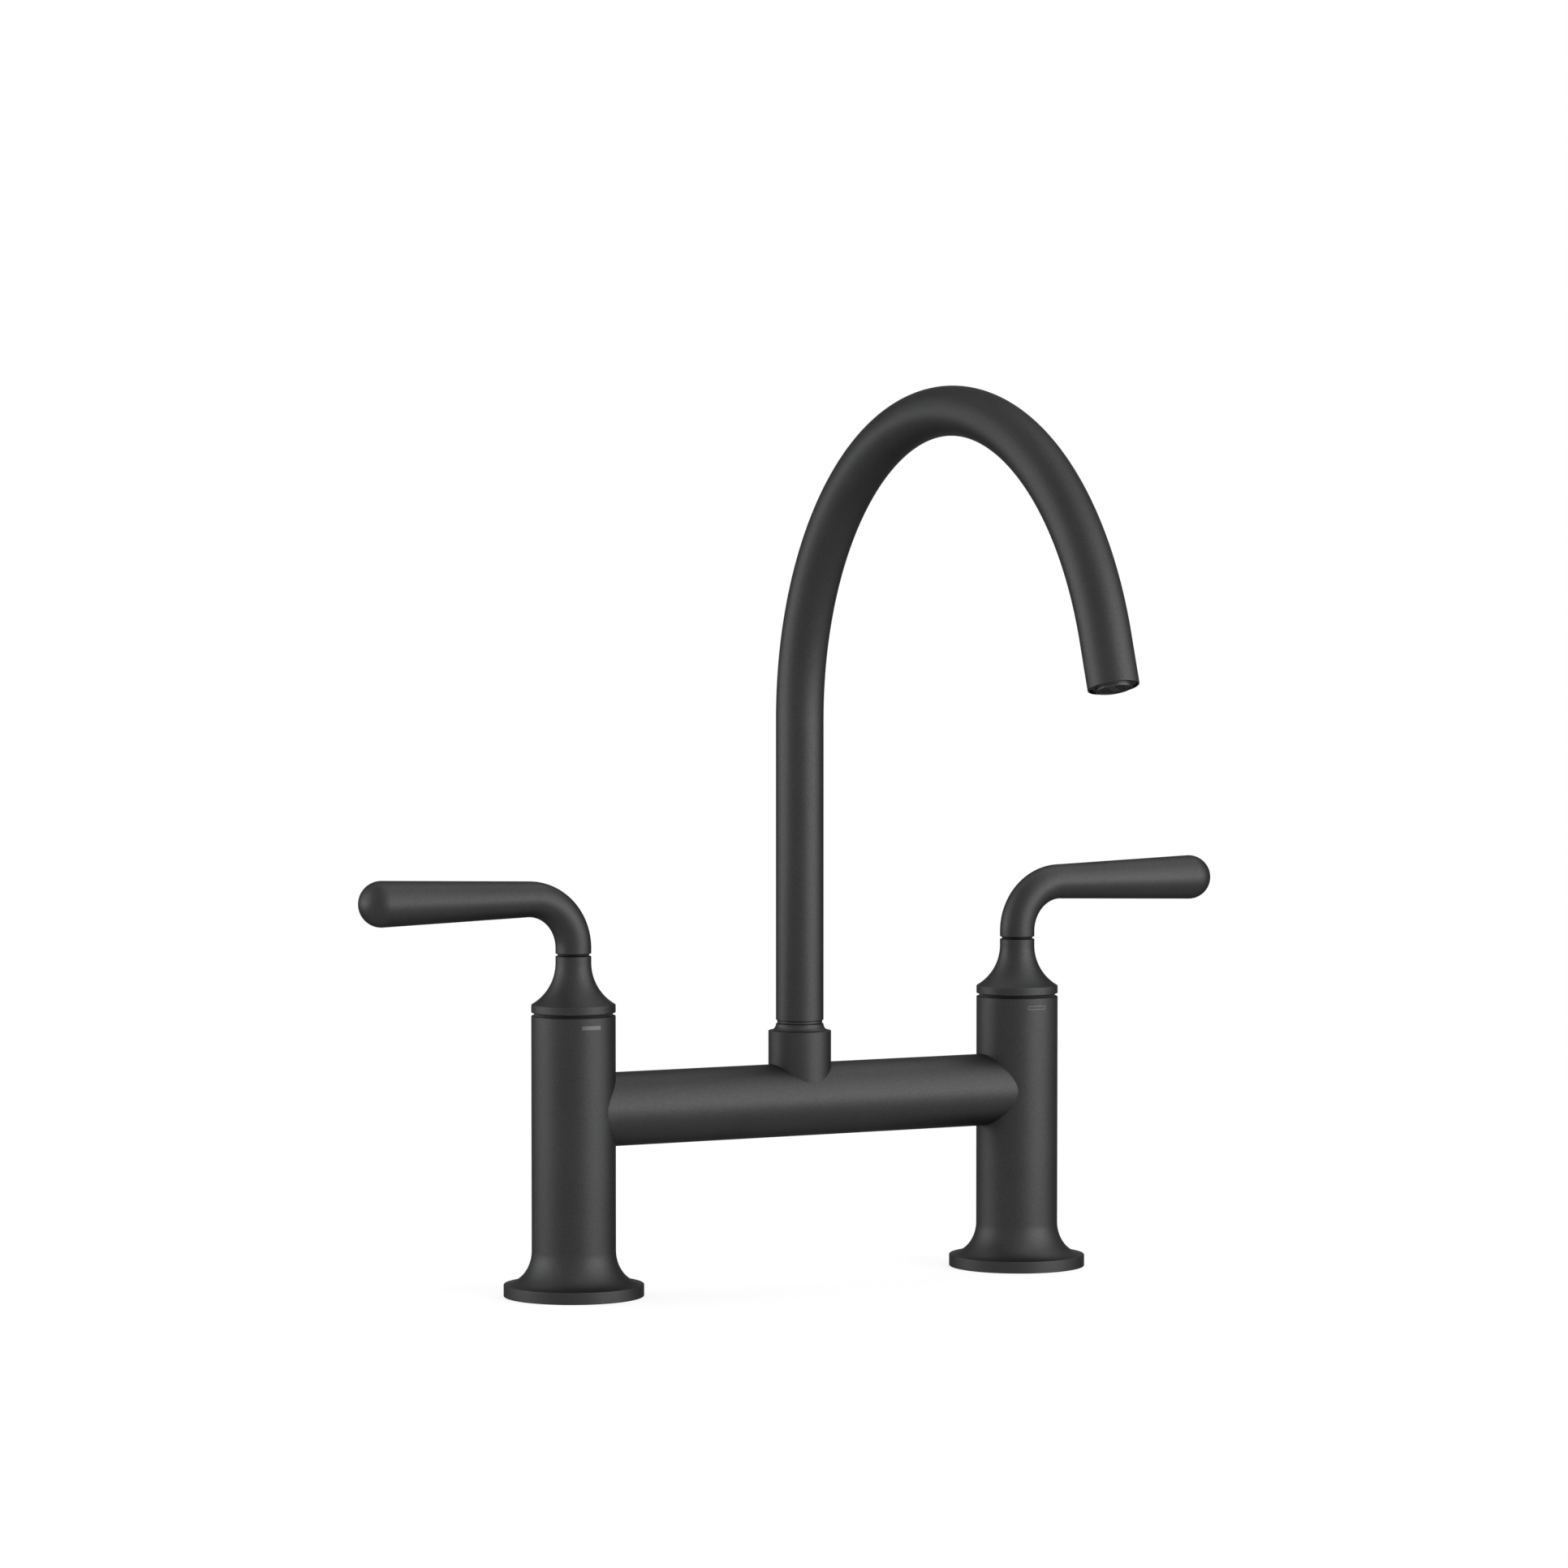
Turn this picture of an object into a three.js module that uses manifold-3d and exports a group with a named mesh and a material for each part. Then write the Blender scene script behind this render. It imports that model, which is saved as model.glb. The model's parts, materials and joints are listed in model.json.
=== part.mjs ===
// Two-handle bridge kitchen faucet, in millimetres, +Z up.
//
// Two valve pillars stand on the sink deck at the hole centres. A horizontal bridge tube joins them, and a
// collar on its middle carries a swivelling gooseneck spout that reaches towards -Y, where the user stands.
// Each pillar holds a quarter-turn ceramic cartridge, turned by a bent lever on a coved cap. Left is hot and
// right is cold. The origin lies on the deck plane, midway between the two pillars' axes.
import * as THREE from "three";
import { mergeVertices } from "three/addons/utils/BufferGeometryUtils.js";
import Module from "manifold-3d";

const wasm = await Module();
wasm.setup();

// ---------------------------------------------------------------- Driving dimensions
const CLEARANCE = 0.3; // gap kept between two fitted pieces

const HOLE_CENTRES = 200; // from one pillar's axis to the other's

const BRIDGE_HEIGHT = 72.4; // the bridge tube's axis above the deck
const BRIDGE_DIAMETER = 29;
const BRIDGE_WALL = 3;

const PILLAR_DIAMETER = 33;
const PILLAR_WALL = 3;
const PILLAR_RISE = 37.5; // the pillar's top above the bridge's axis
const FOOT_DIAMETER = 55;
const FOOT_RIM = 4.7; // height of the foot's upright edge
const FOOT_COVE_HEIGHT = 13.2; // from the rim's top to where the cove meets the pillar
const GASKET_INSET = 4; // from the foot's edge to the gasket's groove
const GASKET_WIDTH = 5;
const GASKET_DEPTH = 1.7;
const REBATE_WALL = 0.8; // of the pillar round the glide ring's flange
const REBATE_DEPTH = 1;

const CAP_SEAM = 1.2; // dark groove between the pillar and the turning cap
const CAP_RIM = 3.1; // height of the cap's upright edge
const CAP_COVE_RADIUS = 18.7;
const CAP_NECK_LENGTH = 2.7; // straight neck above the cove
const CAP_SKIRT_DEPTH = 6; // how far the cap reaches down into the pillar
const CAP_SKIRT_WALL = 1.9;
const CAP_POCKET = 2.9; // how far the cap is hollowed out above its underside
const HUB_WALL = 2.4; // of the cap round the spindle's splines
const HUB_DROP = 2; // how far the hub reaches below the cap's underside
const GLIDE_WALL = 1; // of the glide ring, which the skirt turns in
const GLIDE_TAIL = 2; // how far the glide ring reaches below the skirt

const LEVER_SEAM = 0.9; // groove between the cap's neck and the lever
const LEVER_NECK_DIAMETER = 14;
const LEVER_END_DIAMETER = 18;
const LEVER_FOOT = 2.2; // straight stretch below the lever's bend
const LEVER_BEND_RADIUS = 19.6;
const LEVER_ARM = 62; // from the end of the bend to the centre of the round end
const STUD_DIAMETER = 8.4; // joins the lever to the cap
const STUD_DEPTH = 12.2; // of its socket in the cap's neck
const STUD_GRIP = 6.9; // of its socket in the lever
const SPACER_INSET = 0.8; // from the neck's edge to the lever's spacer
const SPACER_PLAY = 0.2; // above and below the spacer

const SPOUT_DIAMETER = 19;
const SPOUT_WALL = 1.2;
const SPOUT_RISER = 119.7; // straight stretch from the swivel to the bend
const SPOUT_BEND_RADIUS = 120.3;
const SPOUT_BEND_ANGLE = 162.2; // degrees
const SPOUT_TAIL = 19; // straight stretch from the bend to the outlet

const COLLAR_PROUD = 3; // how far the collar stands out past the spout
const COLLAR_RISE = 30.35; // the collar's top above the bridge's axis
const COLLAR_LEDGE = 0.4; // flat step outside the collar's cove
const COLLAR_COVE_RADIUS = 2.6;
const COLLAR_LIP = 0.15; // straight stretch above the cove
const COLLAR_TAIL_WALL = 1.9; // of the tail that passes into the bridge
const COLLAR_TAIL_DROP = 4; // how far the tail reaches in past the bridge's wall
const SWIVEL_SEAM = 1.5; // gap between collar and spout, which shows the swivel ring
const SWIVEL_INSET = 0.5; // from the spout's edge to the swivel ring

const SPIGOT_WALL = 2.2;
const SPIGOT_DEPTH = 18.75; // how far the spigot reaches down into the collar
const SPIGOT_GRIP = 24; // and up into the spout
const O_RING_WIDTH = 2;
const O_RING_DEPTH = 1.2; // groove depth under an O-ring
const O_RING_PITCH = 5;
const O_RING_INSET = 1.5; // from the spigot's end to its lower groove
const O_RING_SQUEEZE = 0.1; // how far an O-ring stands proud of its shaft
const GRUB_SCREW_DIAMETER = 3;
const GRUB_SCREW_DROP = 5.65; // the grub screw's axis below the collar's top
const GRUB_SCREW_INSET = 0.5; // its end inside the collar's outside
const GRUB_SOCKET = 1.8; // diameter and depth of its key socket

const INLET_DIAMETER = 12; // waterway up from the deck
const INLET_RISE = 2; // the valve body's underside above the deck
const FIXING_SOCKET_DEPTH = 20; // blind hole for the fixing stud
const FIXING_SOCKET_WALL = 1; // left on each side of it
const PORT_DIAMETER = 12.4; // waterway from each pillar into the bridge
const NIPPLE_WALL = 2;
const NIPPLE_LENGTH = 28.2;
const NIPPLE_SEAL_INSET = 7; // from the nipple's end to its O-ring groove
const SOCKET_PLAY = 1; // past the nipple's end, where the bridge's bore opens up

const CHAMBER_WALL = 2; // of the valve body round the water chamber
const THREAD_WALL = 2.5; // of the valve body round the cartridge's thread
const SEAT_STEP = 1.2; // narrowing from the thread to the seat
const SEAT_DEPTH = 4;
const SEAL_HEIGHT = 2;

const CARTRIDGE_WALL = 1.2;
const CARTRIDGE_DROP = 5; // the cartridge's top below the pillar's top
const HEX_DROP = 9; // top of its hexagon below the pillar's top
const HEX_HEIGHT = 6.7;
const HOUSING_PLAY = 1; // the housing's bore ends this far below the thread
const NOSE_WALL = 2.6; // round the stem, above the hexagon
const WINDOW_WIDTH = 7; // of the windows that let water out of the housing
const WINDOW_SILL = 2; // their lower edge below the spindle's driver
const WINDOW_HEAD = 3; // their upper edge below the chamber's top
const DISC_THICKNESS = 3.2;
const DISC_RECESS = 0.8; // the lower disc inside the housing's open end
const DISC_PORT = 3.8; // diameter of a disc's two ports
const DISC_RIM = 1.5; // left outside them
const STEM_DIAMETER = 8.2;
const SHOULDER_STEP = 2;
const SHOULDER_HEIGHT = 4;
const SHOULDER_DROP = 2; // its top below the hexagon
const DRIVER_HEIGHT = 3.2;
const DRIVER_INSET = 0.2; // from the disc's edge to the driver's
const KEY_WIDTH = 3; // key under the spindle that turns the upper disc
const KEY_DEPTH = 1.2;
const KEY_INSET = 1; // from the driver's edge to the key's end
const SPLINE_TEETH = 12;
const SPLINE_DEPTH = 0.6;
const SPLINE_RELIEF = 0.1; // the teeth's tips inside the stem
const CLIP_THICKNESS = 0.8;
const CLIP_WIDTH = 2.3;
const CLIP_GROOVE = 0.7;
const CLIP_PLAY = 0.1; // above and below the clip in its groove
const CLIP_GAP = 2.4; // where the clip is open
const CAP_SCREW_DIAMETER = 3.6;
const CAP_SCREW_HEAD = 3.7; // height of its head
const CAP_SCREW_PLAY = 0.7; // round its head
const CAP_SCREW_SOCKET = 3.4; // across its key socket
const CAP_SCREW_SOCKET_DEPTH = 2;
const CAP_WEB = 3.2; // thickness of the floor that the cap's screw seats on

const AERATOR_SEAT = 11; // depth of the outlet's counterbore
const AERATOR_PROUD = 0.9; // the aerator's mouth stands this far out of the outlet
const AERATOR_SHOULDER = 0.6; // its keyed shoulder lies this far inside the outlet
const AERATOR_FLOOR = 1.4; // from the shoulder to the shelf that the insert rests on
const AERATOR_LENGTH = 8.7; // from the shoulder to the housing's top
const AERATOR_OVERSIZE = 0.2; // its radius past the spout's bore
const AERATOR_WALL = 1.3;
const AERATOR_MOUTH = 12.2; // diameter of its mouth
const AERATOR_LIP = 0.6; // width of the ring round its mouth
const AERATOR_SHELF = 1; // least width of the shelf
const NOTCH_WIDTH = 2; // of the four notches for its key
const NOTCH_DEPTH = 0.9;
const NOTCH_HEIGHT = 1.2;
const INSERT_RECESS = 0.35; // the insert's grid lies this far inside the mouth
const INSERT_THICKNESS = 5; // of the insert above the shelf
const GRID_PITCH = 1.15; // of the square holes in the grid
const GRID_HOLE = 0.8;
const GRID_BAR = 3; // width of the plain bar across the grid
const GRID_RIM = 0.3; // left outside the holes
const GRID_TURN = -47; // degrees that the bar is turned from straight ahead
const REGULATOR_THICKNESS = 1.3;
const REGULATOR_HOLE = 4;
const WASHER_THICKNESS = 1.1;
const WASHER_INSET = 2; // its hole's radius inside the spout's bore

// ---------------------------------------------------------------- Facets
const ROUND = 20; // sides of the large round pieces
const SMALL = 16; // sides of the small round pieces
const TINY = 8; // sides of drilled holes and screws
const BEND_STEPS = 18; // steps round the spout's bend
const LEVER_STEPS = 6; // steps round a lever's bend
const COVE_STEPS = 6;
const SMALL_COVE_STEPS = 3;
const DOME_STEPS = 4;
const WELD = 1e-4; // vertices nearer than this are one
const OVERRUN = 1; // how far a cutting tool runs past the face it cuts
const BITE = 0.5; // how far two fused shapes run into each other

// ---------------------------------------------------------------- Derived sizes
const pillarRadius = PILLAR_DIAMETER / 2;
const pillarBore = pillarRadius - PILLAR_WALL;
const pillarTop = BRIDGE_HEIGHT + PILLAR_RISE;
const footRadius = FOOT_DIAMETER / 2;
const bridgeRadius = BRIDGE_DIAMETER / 2;
const spoutRadius = SPOUT_DIAMETER / 2;
const spoutBore = spoutRadius - SPOUT_WALL;
const collarRadius = spoutRadius + COLLAR_PROUD;
const collarTop = BRIDGE_HEIGHT + COLLAR_RISE;
const spoutBottom = collarTop + SWIVEL_SEAM;
const bendAngle = THREE.MathUtils.degToRad(SPOUT_BEND_ANGLE);

// The cap, from its underside up.
const neckRadius = LEVER_NECK_DIAMETER / 2;
const capBottom = pillarTop + CAP_SEAM;
const rimTop = capBottom + CAP_RIM;
const coveRadius = Math.max(CAP_COVE_RADIUS, pillarRadius - neckRadius);
const coveSweep = Math.acos((coveRadius - pillarRadius + neckRadius) / coveRadius);
const coveTop = rimTop + coveRadius * Math.sin(coveSweep);
const neckTop = coveTop + CAP_NECK_LENGTH;
const leverBottom = neckTop + LEVER_SEAM;
const studRadius = STUD_DIAMETER / 2;
const studBore = studRadius + CLEARANCE;
const webTop = neckTop - STUD_DEPTH; // floor of the stud's socket, where the cap's screw seats
const webBottom = webTop - CAP_WEB;
const screwHole = CAP_SCREW_DIAMETER / 2 + CLEARANCE;
const screwHeadTop = webTop + CLEARANCE + CAP_SCREW_HEAD;
const studTop = leverBottom + STUD_GRIP;

// The water path inside a pillar, from the seat up.
const inletRadius = INLET_DIAMETER / 2;
const portRadius = PORT_DIAMETER / 2;
const nippleRadius = portRadius + NIPPLE_WALL;
const portHole = nippleRadius + CLEARANCE;
const seatTop = BRIDGE_HEIGHT - portHole;
const seatFloor = seatTop - SEAT_DEPTH;
const chamberTop = BRIDGE_HEIGHT + portHole;
const valveBodyRadius = pillarBore - CLEARANCE;
const chamberRadius = valveBodyRadius - CHAMBER_WALL;
const threadBore = valveBodyRadius - THREAD_WALL;
const seatRadius = threadBore - SEAT_STEP;

// The cartridge that screws into it, and the spindle in the cartridge.
const hexTop = pillarTop - HEX_DROP;
const hexBottom = hexTop - HEX_HEIGHT;
const cartridgeTop = pillarTop - CARTRIDGE_DROP;
const housingRadius = seatRadius - CLEARANCE;
const housingBore = housingRadius - CARTRIDGE_WALL;
const housingBottom = seatFloor + SEAL_HEIGHT;
const stemRadius = STEM_DIAMETER / 2;
const stemBore = stemRadius + CLEARANCE;
const shoulderRadius = stemRadius + SHOULDER_STEP;
const shoulderBore = shoulderRadius + CLEARANCE;
const shoulderTop = hexBottom - SHOULDER_DROP;
const discRadius = housingBore - CLEARANCE;
const discBottom = housingBottom + DISC_RECESS;
const upperDiscBottom = discBottom + DISC_THICKNESS + CLEARANCE;
const driverBottom = upperDiscBottom + DISC_THICKNESS + CLEARANCE;
const driverTop = driverBottom + DRIVER_HEIGHT;
const driverRadius = discRadius - DRIVER_INSET;
const clipBottom = cartridgeTop + CLEARANCE;
const clipTop = clipBottom + CLIP_THICKNESS;
const clipBore = stemRadius - CLIP_GROOVE + CLEARANCE;
const splineBottom = clipTop + 2 * CLEARANCE;
const splineTip = stemRadius - SPLINE_RELIEF;
const spindleTop = webBottom - CLEARANCE;
const glideBore = valveBodyRadius - GLIDE_WALL;

// The nipple between pillar and bridge, measured from the pillar's axis.
const nippleStart = chamberRadius + 2 * CLEARANCE;
const nippleEnd = nippleStart + NIPPLE_LENGTH;
const nippleGroove = nippleEnd - NIPPLE_SEAL_INSET;

// The spigot that carries the spout in the collar.
const spigotRadius = spoutBore - CLEARANCE;
const collarBore = spigotRadius + CLEARANCE;
const collarTail = collarBore + COLLAR_TAIL_WALL;
const spigotBottom = collarTop - SPIGOT_DEPTH;
const spigotTop = spoutBottom + SPIGOT_GRIP;
const grooveWidth = O_RING_WIDTH + 2 * CLEARANCE;
const lowerGroove = spigotBottom + O_RING_INSET;
const upperGroove = lowerGroove + O_RING_PITCH;
const grubRadius = GRUB_SCREW_DIAMETER / 2;
const grubHeight = collarTop - GRUB_SCREW_DROP;

// The outlet, on the spout's centreline, and the aerator in it.
const outletReach = SPOUT_BEND_RADIUS * (1 - Math.cos(bendAngle)) + SPOUT_TAIL * Math.sin(bendAngle);
const bendTop = spoutBottom + SPOUT_RISER;
const outletHeight = bendTop + SPOUT_BEND_RADIUS * Math.sin(bendAngle) + SPOUT_TAIL * Math.cos(bendAngle);
const aeratorRadius = spoutBore + AERATOR_OVERSIZE;
const aeratorBore = aeratorRadius - AERATOR_WALL;
const aeratorMouth = Math.min(AERATOR_MOUTH / 2, aeratorBore - AERATOR_SHELF);
const aeratorShelf = AERATOR_SHOULDER + AERATOR_FLOOR;
const insertRadius = aeratorBore - CLEARANCE;
const insertBottom = aeratorShelf + CLEARANCE;
const insertTop = insertBottom + INSERT_THICKNESS;

// ---------------------------------------------------------------- Materials
const finish = (color, roughness, metalness) =>
  new THREE.MeshStandardMaterial({ color, roughness, metalness });
const BLACK_COAT = finish(0x303131, 0.55, 0.1);
const BRASS = finish(0xb08d4a, 0.35, 1);
const CERAMIC = finish(0xe9e6de, 0.3, 0);
const RUBBER = finish(0x151515, 0.9, 0);
const POLYMER = finish(0x222222, 0.6, 0);
const STEEL = finish(0xb9bbbd, 0.3, 1);

// ---------------------------------------------------------------- Modelling helpers
/** The closed solid that a geometry bounds. */
function solid(geometry) {
  const bare = geometry.clone();
  bare.deleteAttribute("normal");
  bare.deleteAttribute("uv");
  const welded = mergeVertices(bare, WELD);
  const mesh = new wasm.Mesh({
    numProp: 3,
    vertProperties: welded.attributes.position.array,
    triVerts: new Uint32Array(welded.index.array),
  });
  return new wasm.Manifold(mesh);
}

/** A solid's surface as a geometry. */
function surface(body) {
  const mesh = body.getMesh();
  const geometry = new THREE.BufferGeometry();
  geometry.setAttribute("position", new THREE.BufferAttribute(mesh.vertProperties, 3));
  geometry.setIndex(new THREE.BufferAttribute(mesh.triVerts, 1));
  return geometry;
}

const cut = (geometry, ...tools) =>
  surface(tools.reduce((body, tool) => body.subtract(solid(tool)), solid(geometry)));

const fuse = (...parts) => surface(parts.map(solid).reduce((body, part) => body.add(part)));

/** Turns an outline of [radius, height] about Z, which ends on the axis or closes on itself. */
function turned(outline, sides = ROUND) {
  const points = outline.map(([radius, height]) => new THREE.Vector2(radius, height));
  if (outline[0][0] > 0) points.push(points[0].clone());
  return new THREE.LatheGeometry(points, sides).rotateX(Math.PI / 2);
}

/** A round bar about Z. */
function bar(radius, bottom, top, sides = SMALL) {
  return turned([[0, bottom], [radius, bottom], [radius, top], [0, top]], sides);
}

/** A round bar with a round hole. */
function ring(inner, outer, bottom, top, sides = ROUND) {
  return turned([[inner, bottom], [outer, bottom], [outer, top], [inner, top]], sides);
}

/** A box given by its lowest and highest corners. */
function block([x0, y0, z0], [x1, y1, z1]) {
  const box = new THREE.BoxGeometry(x1 - x0, y1 - y0, z1 - z0);
  return box.translate((x0 + x1) / 2, (y0 + y1) / 2, (z0 + z1) / 2);
}

/** Points along an arc as [radius, height], by angle in radians from the direction of growing radius. */
function arc(centre, radii, from, to, steps) {
  const curve = new THREE.EllipseCurve(...centre, ...radii, from, to, to < from);
  return curve.getPoints(steps).map((point) => [point.x, point.y]);
}

/** A splined shaft or socket about Z, with that radius at the tips of its teeth. */
function spline(tip, bottom, top) {
  const shape = new THREE.Shape();
  for (let i = 0; i < 2 * SPLINE_TEETH; i++) {
    const angle = (Math.PI * i) / SPLINE_TEETH;
    const radius = i % 2 ? tip - SPLINE_DEPTH : tip;
    const point = [radius * Math.cos(angle), radius * Math.sin(angle)];
    if (i) shape.lineTo(...point);
    else shape.moveTo(...point);
  }
  const depth = top - bottom;
  return new THREE.ExtrudeGeometry(shape, { depth, bevelEnabled: false }).translate(0, 0, bottom);
}

/** Boxes that trim a round collar of that radius to a hexagon. */
function hexFlats(radius, bottom, top) {
  const flat = radius * Math.cos(Math.PI / 6);
  const outer = radius + OVERRUN;
  return Array.from({ length: 6 }, (_, side) =>
    block([flat, -outer, bottom], [outer, outer, top]).rotateZ((side * Math.PI) / 3),
  );
}

/**
 * A centreline in the YZ plane: straight up from the start, round a bend towards -Y, and straight on. It is
 * divided by station and not by length, so that only the bend takes many steps.
 */
class BentLine extends THREE.Curve {
  constructor({ bottom, riser, radius, angle, tail, bendSteps }) {
    super();
    Object.assign(this, { bottom, riser, radius, angle, tail, bendSteps });
    this.steps = bendSteps + 2;
  }

  getUtoTmapping(u) {
    return u;
  }

  getPoint(t) {
    const station = t * this.steps;
    const up = Math.min(station, 1) * this.riser;
    const turn = THREE.MathUtils.clamp((station - 1) / this.bendSteps, 0, 1) * this.angle;
    const on = Math.max(station - this.bendSteps - 1, 0) * this.tail;
    const forward = this.radius * (1 - Math.cos(turn)) + on * Math.sin(turn);
    const height = this.bottom + up + this.radius * Math.sin(turn) + on * Math.cos(turn);
    return new THREE.Vector3(0, -forward, height);
  }
}

/** A round section of that radius, hollow if a bore is given, swept along a bent line. */
function swept(line, radius, bore, sides) {
  const circle = (r) => Array.from({ length: sides }, (_, i) => {
    const angle = (2 * Math.PI * i) / sides;
    return new THREE.Vector2(r * Math.cos(angle), r * Math.sin(angle));
  });
  const section = new THREE.Shape(circle(radius));
  if (bore) section.holes.push(new THREE.Path(circle(bore)));
  return new THREE.ExtrudeGeometry(section, { steps: line.steps, extrudePath: line, bevelEnabled: false });
}

function mesh(name, geometry, material) {
  const made = new THREE.Mesh(geometry, material);
  made.name = name;
  return made;
}

// ---------------------------------------------------------------- One pillar and its valve
// In a pillar's own frame its axis is Z, +X points away from the bridge and -X towards it.

/** Turned about Z, then laid towards the bridge. */
const towardsBridge = (geometry) => geometry.rotateY(-Math.PI / 2).translate(0, 0, BRIDGE_HEIGHT);

/** A hole through the wall that faces the bridge. */
const portTool = () => towardsBridge(bar(portHole, 0, pillarRadius + OVERRUN));

function gasketRing(gap, bottom, top) {
  const outer = footRadius - GASKET_INSET;
  return ring(outer - GASKET_WIDTH + gap, outer - gap, bottom, top);
}

const footGasket = () => gasketRing(CLEARANCE, 0, GASKET_DEPTH - CLEARANCE);

function pillarShell() {
  const rebate = { radius: pillarRadius - REBATE_WALL, floor: pillarTop - REBATE_DEPTH };
  const coveCentre = [footRadius, FOOT_RIM + FOOT_COVE_HEIGHT];
  const coveRadii = [footRadius - pillarRadius, FOOT_COVE_HEIGHT];
  const shell = turned([
    [pillarBore, 0],
    [footRadius, 0],
    ...arc(coveCentre, coveRadii, 1.5 * Math.PI, Math.PI, COVE_STEPS),
    [pillarRadius, pillarTop],
    [rebate.radius, pillarTop],
    [rebate.radius, rebate.floor],
    [pillarBore, rebate.floor],
  ]);
  return cut(shell, gasketRing(0, -OVERRUN, GASKET_DEPTH), portTool());
}

function valveBody() {
  const body = turned([
    [inletRadius, INLET_RISE],
    [valveBodyRadius, INLET_RISE],
    [valveBodyRadius, hexBottom - CLEARANCE],
    [threadBore, hexBottom - CLEARANCE],
    [threadBore, chamberTop],
    [chamberRadius, chamberTop],
    [chamberRadius, seatTop],
    [seatRadius, seatTop],
    [seatRadius, seatFloor],
    [inletRadius, seatFloor],
  ]);
  const wall = valveBodyRadius - inletRadius;
  const socketRadius = wall / 2 - FIXING_SOCKET_WALL;
  const fixingSocket = bar(socketRadius, INLET_RISE - OVERRUN, INLET_RISE + FIXING_SOCKET_DEPTH, TINY);
  fixingSocket.translate(0, inletRadius + wall / 2, 0);
  return cut(body, fixingSocket, portTool());
}

const seatSeal = () =>
  ring(inletRadius + CLEARANCE, housingRadius, seatFloor + CLEARANCE, housingBottom - CLEARANCE, SMALL);

function cartridgeBody() {
  const threadRadius = threadBore - CLEARANCE;
  const threadBottom = chamberTop + CLEARANCE;
  const hexRadius = valveBodyRadius - CLEARANCE;
  const noseRadius = stemBore + NOSE_WALL;
  const boreTop = chamberTop - HOUSING_PLAY;
  const body = turned([
    [housingBore, housingBottom],
    [housingRadius, housingBottom],
    [housingRadius, threadBottom],
    [threadRadius, threadBottom],
    [threadRadius, hexBottom],
    [hexRadius, hexBottom],
    [hexRadius, hexTop],
    [noseRadius, hexTop],
    [noseRadius, cartridgeTop],
    [stemBore, cartridgeTop],
    [stemBore, shoulderTop + CLEARANCE],
    [shoulderBore, shoulderTop + CLEARANCE],
    [shoulderBore, boreTop],
    [housingBore, boreTop],
  ], SMALL);
  const windows = block(
    [-valveBodyRadius, -WINDOW_WIDTH / 2, driverBottom - WINDOW_SILL],
    [valveBodyRadius, WINDOW_WIDTH / 2, chamberTop - WINDOW_HEAD],
  );
  return cut(body, windows, ...hexFlats(hexRadius, hexBottom, hexTop));
}

/** A disc with two round ports, on a line through its axis at that angle. */
function ceramicDisc(bottom, portAngle) {
  const top = bottom + DISC_THICKNESS;
  const offset = discRadius - DISC_RIM - DISC_PORT / 2;
  const port = (turn) =>
    bar(DISC_PORT / 2, bottom - OVERRUN, top + OVERRUN, TINY)
      .translate(offset, 0, 0)
      .rotateZ(portAngle + turn);
  return cut(bar(discRadius, bottom, top), port(0), port(Math.PI));
}

function rotatingDisc() {
  const top = upperDiscBottom + DISC_THICKNESS;
  const half = KEY_WIDTH / 2 + CLEARANCE;
  const reach = discRadius + OVERRUN;
  const keyway = block([-half, -reach, top - KEY_DEPTH], [half, reach, top + OVERRUN]);
  return cut(ceramicDisc(upperDiscBottom, Math.PI / 2), keyway);
}

function spindle() {
  const shoulderBottom = shoulderTop - SHOULDER_HEIGHT;
  const clipFloor = stemRadius - CLIP_GROOVE;
  const shaft = turned([
    [0, driverBottom],
    [driverRadius, driverBottom],
    [driverRadius, driverTop],
    [stemRadius, driverTop],
    [stemRadius, shoulderBottom],
    [shoulderRadius, shoulderBottom],
    [shoulderRadius, shoulderTop],
    [stemRadius, shoulderTop],
    [stemRadius, clipBottom - CLIP_PLAY],
    [clipFloor, clipBottom - CLIP_PLAY],
    [clipFloor, clipTop + CLIP_PLAY],
    [stemRadius, clipTop + CLIP_PLAY],
    [stemRadius, splineBottom],
    [0, splineBottom],
  ], SMALL);
  const keyHalf = KEY_WIDTH / 2;
  const keyReach = driverRadius - KEY_INSET;
  const keyBottom = driverBottom - KEY_DEPTH;
  const key = block([-keyHalf, -keyReach, keyBottom], [keyHalf, keyReach, driverBottom + BITE]);
  const splines = spline(splineTip, splineBottom - BITE, spindleTop);
  return cut(fuse(shaft, key, splines), bar(screwHole, splineBottom, spindleTop + OVERRUN, TINY));
}

function spindleClip() {
  const clip = ring(clipBore, clipBore + CLIP_WIDTH, clipBottom, clipTop, SMALL);
  const half = CLIP_GAP / 2;
  const end = clipBore + CLIP_WIDTH + OVERRUN;
  return cut(clip, block([0, -half, clipBottom - OVERRUN], [end, half, clipTop + OVERRUN]));
}

function glideRing() {
  const bottom = capBottom - CAP_SKIRT_DEPTH - GLIDE_TAIL;
  const top = capBottom - CLEARANCE;
  const flangeRadius = pillarRadius - REBATE_WALL - CLEARANCE;
  const flangeBottom = pillarTop - REBATE_DEPTH + CLEARANCE;
  return turned([
    [glideBore, bottom],
    [valveBodyRadius, bottom],
    [valveBodyRadius, flangeBottom],
    [flangeRadius, flangeBottom],
    [flangeRadius, top],
    [glideBore, top],
  ]);
}

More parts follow.
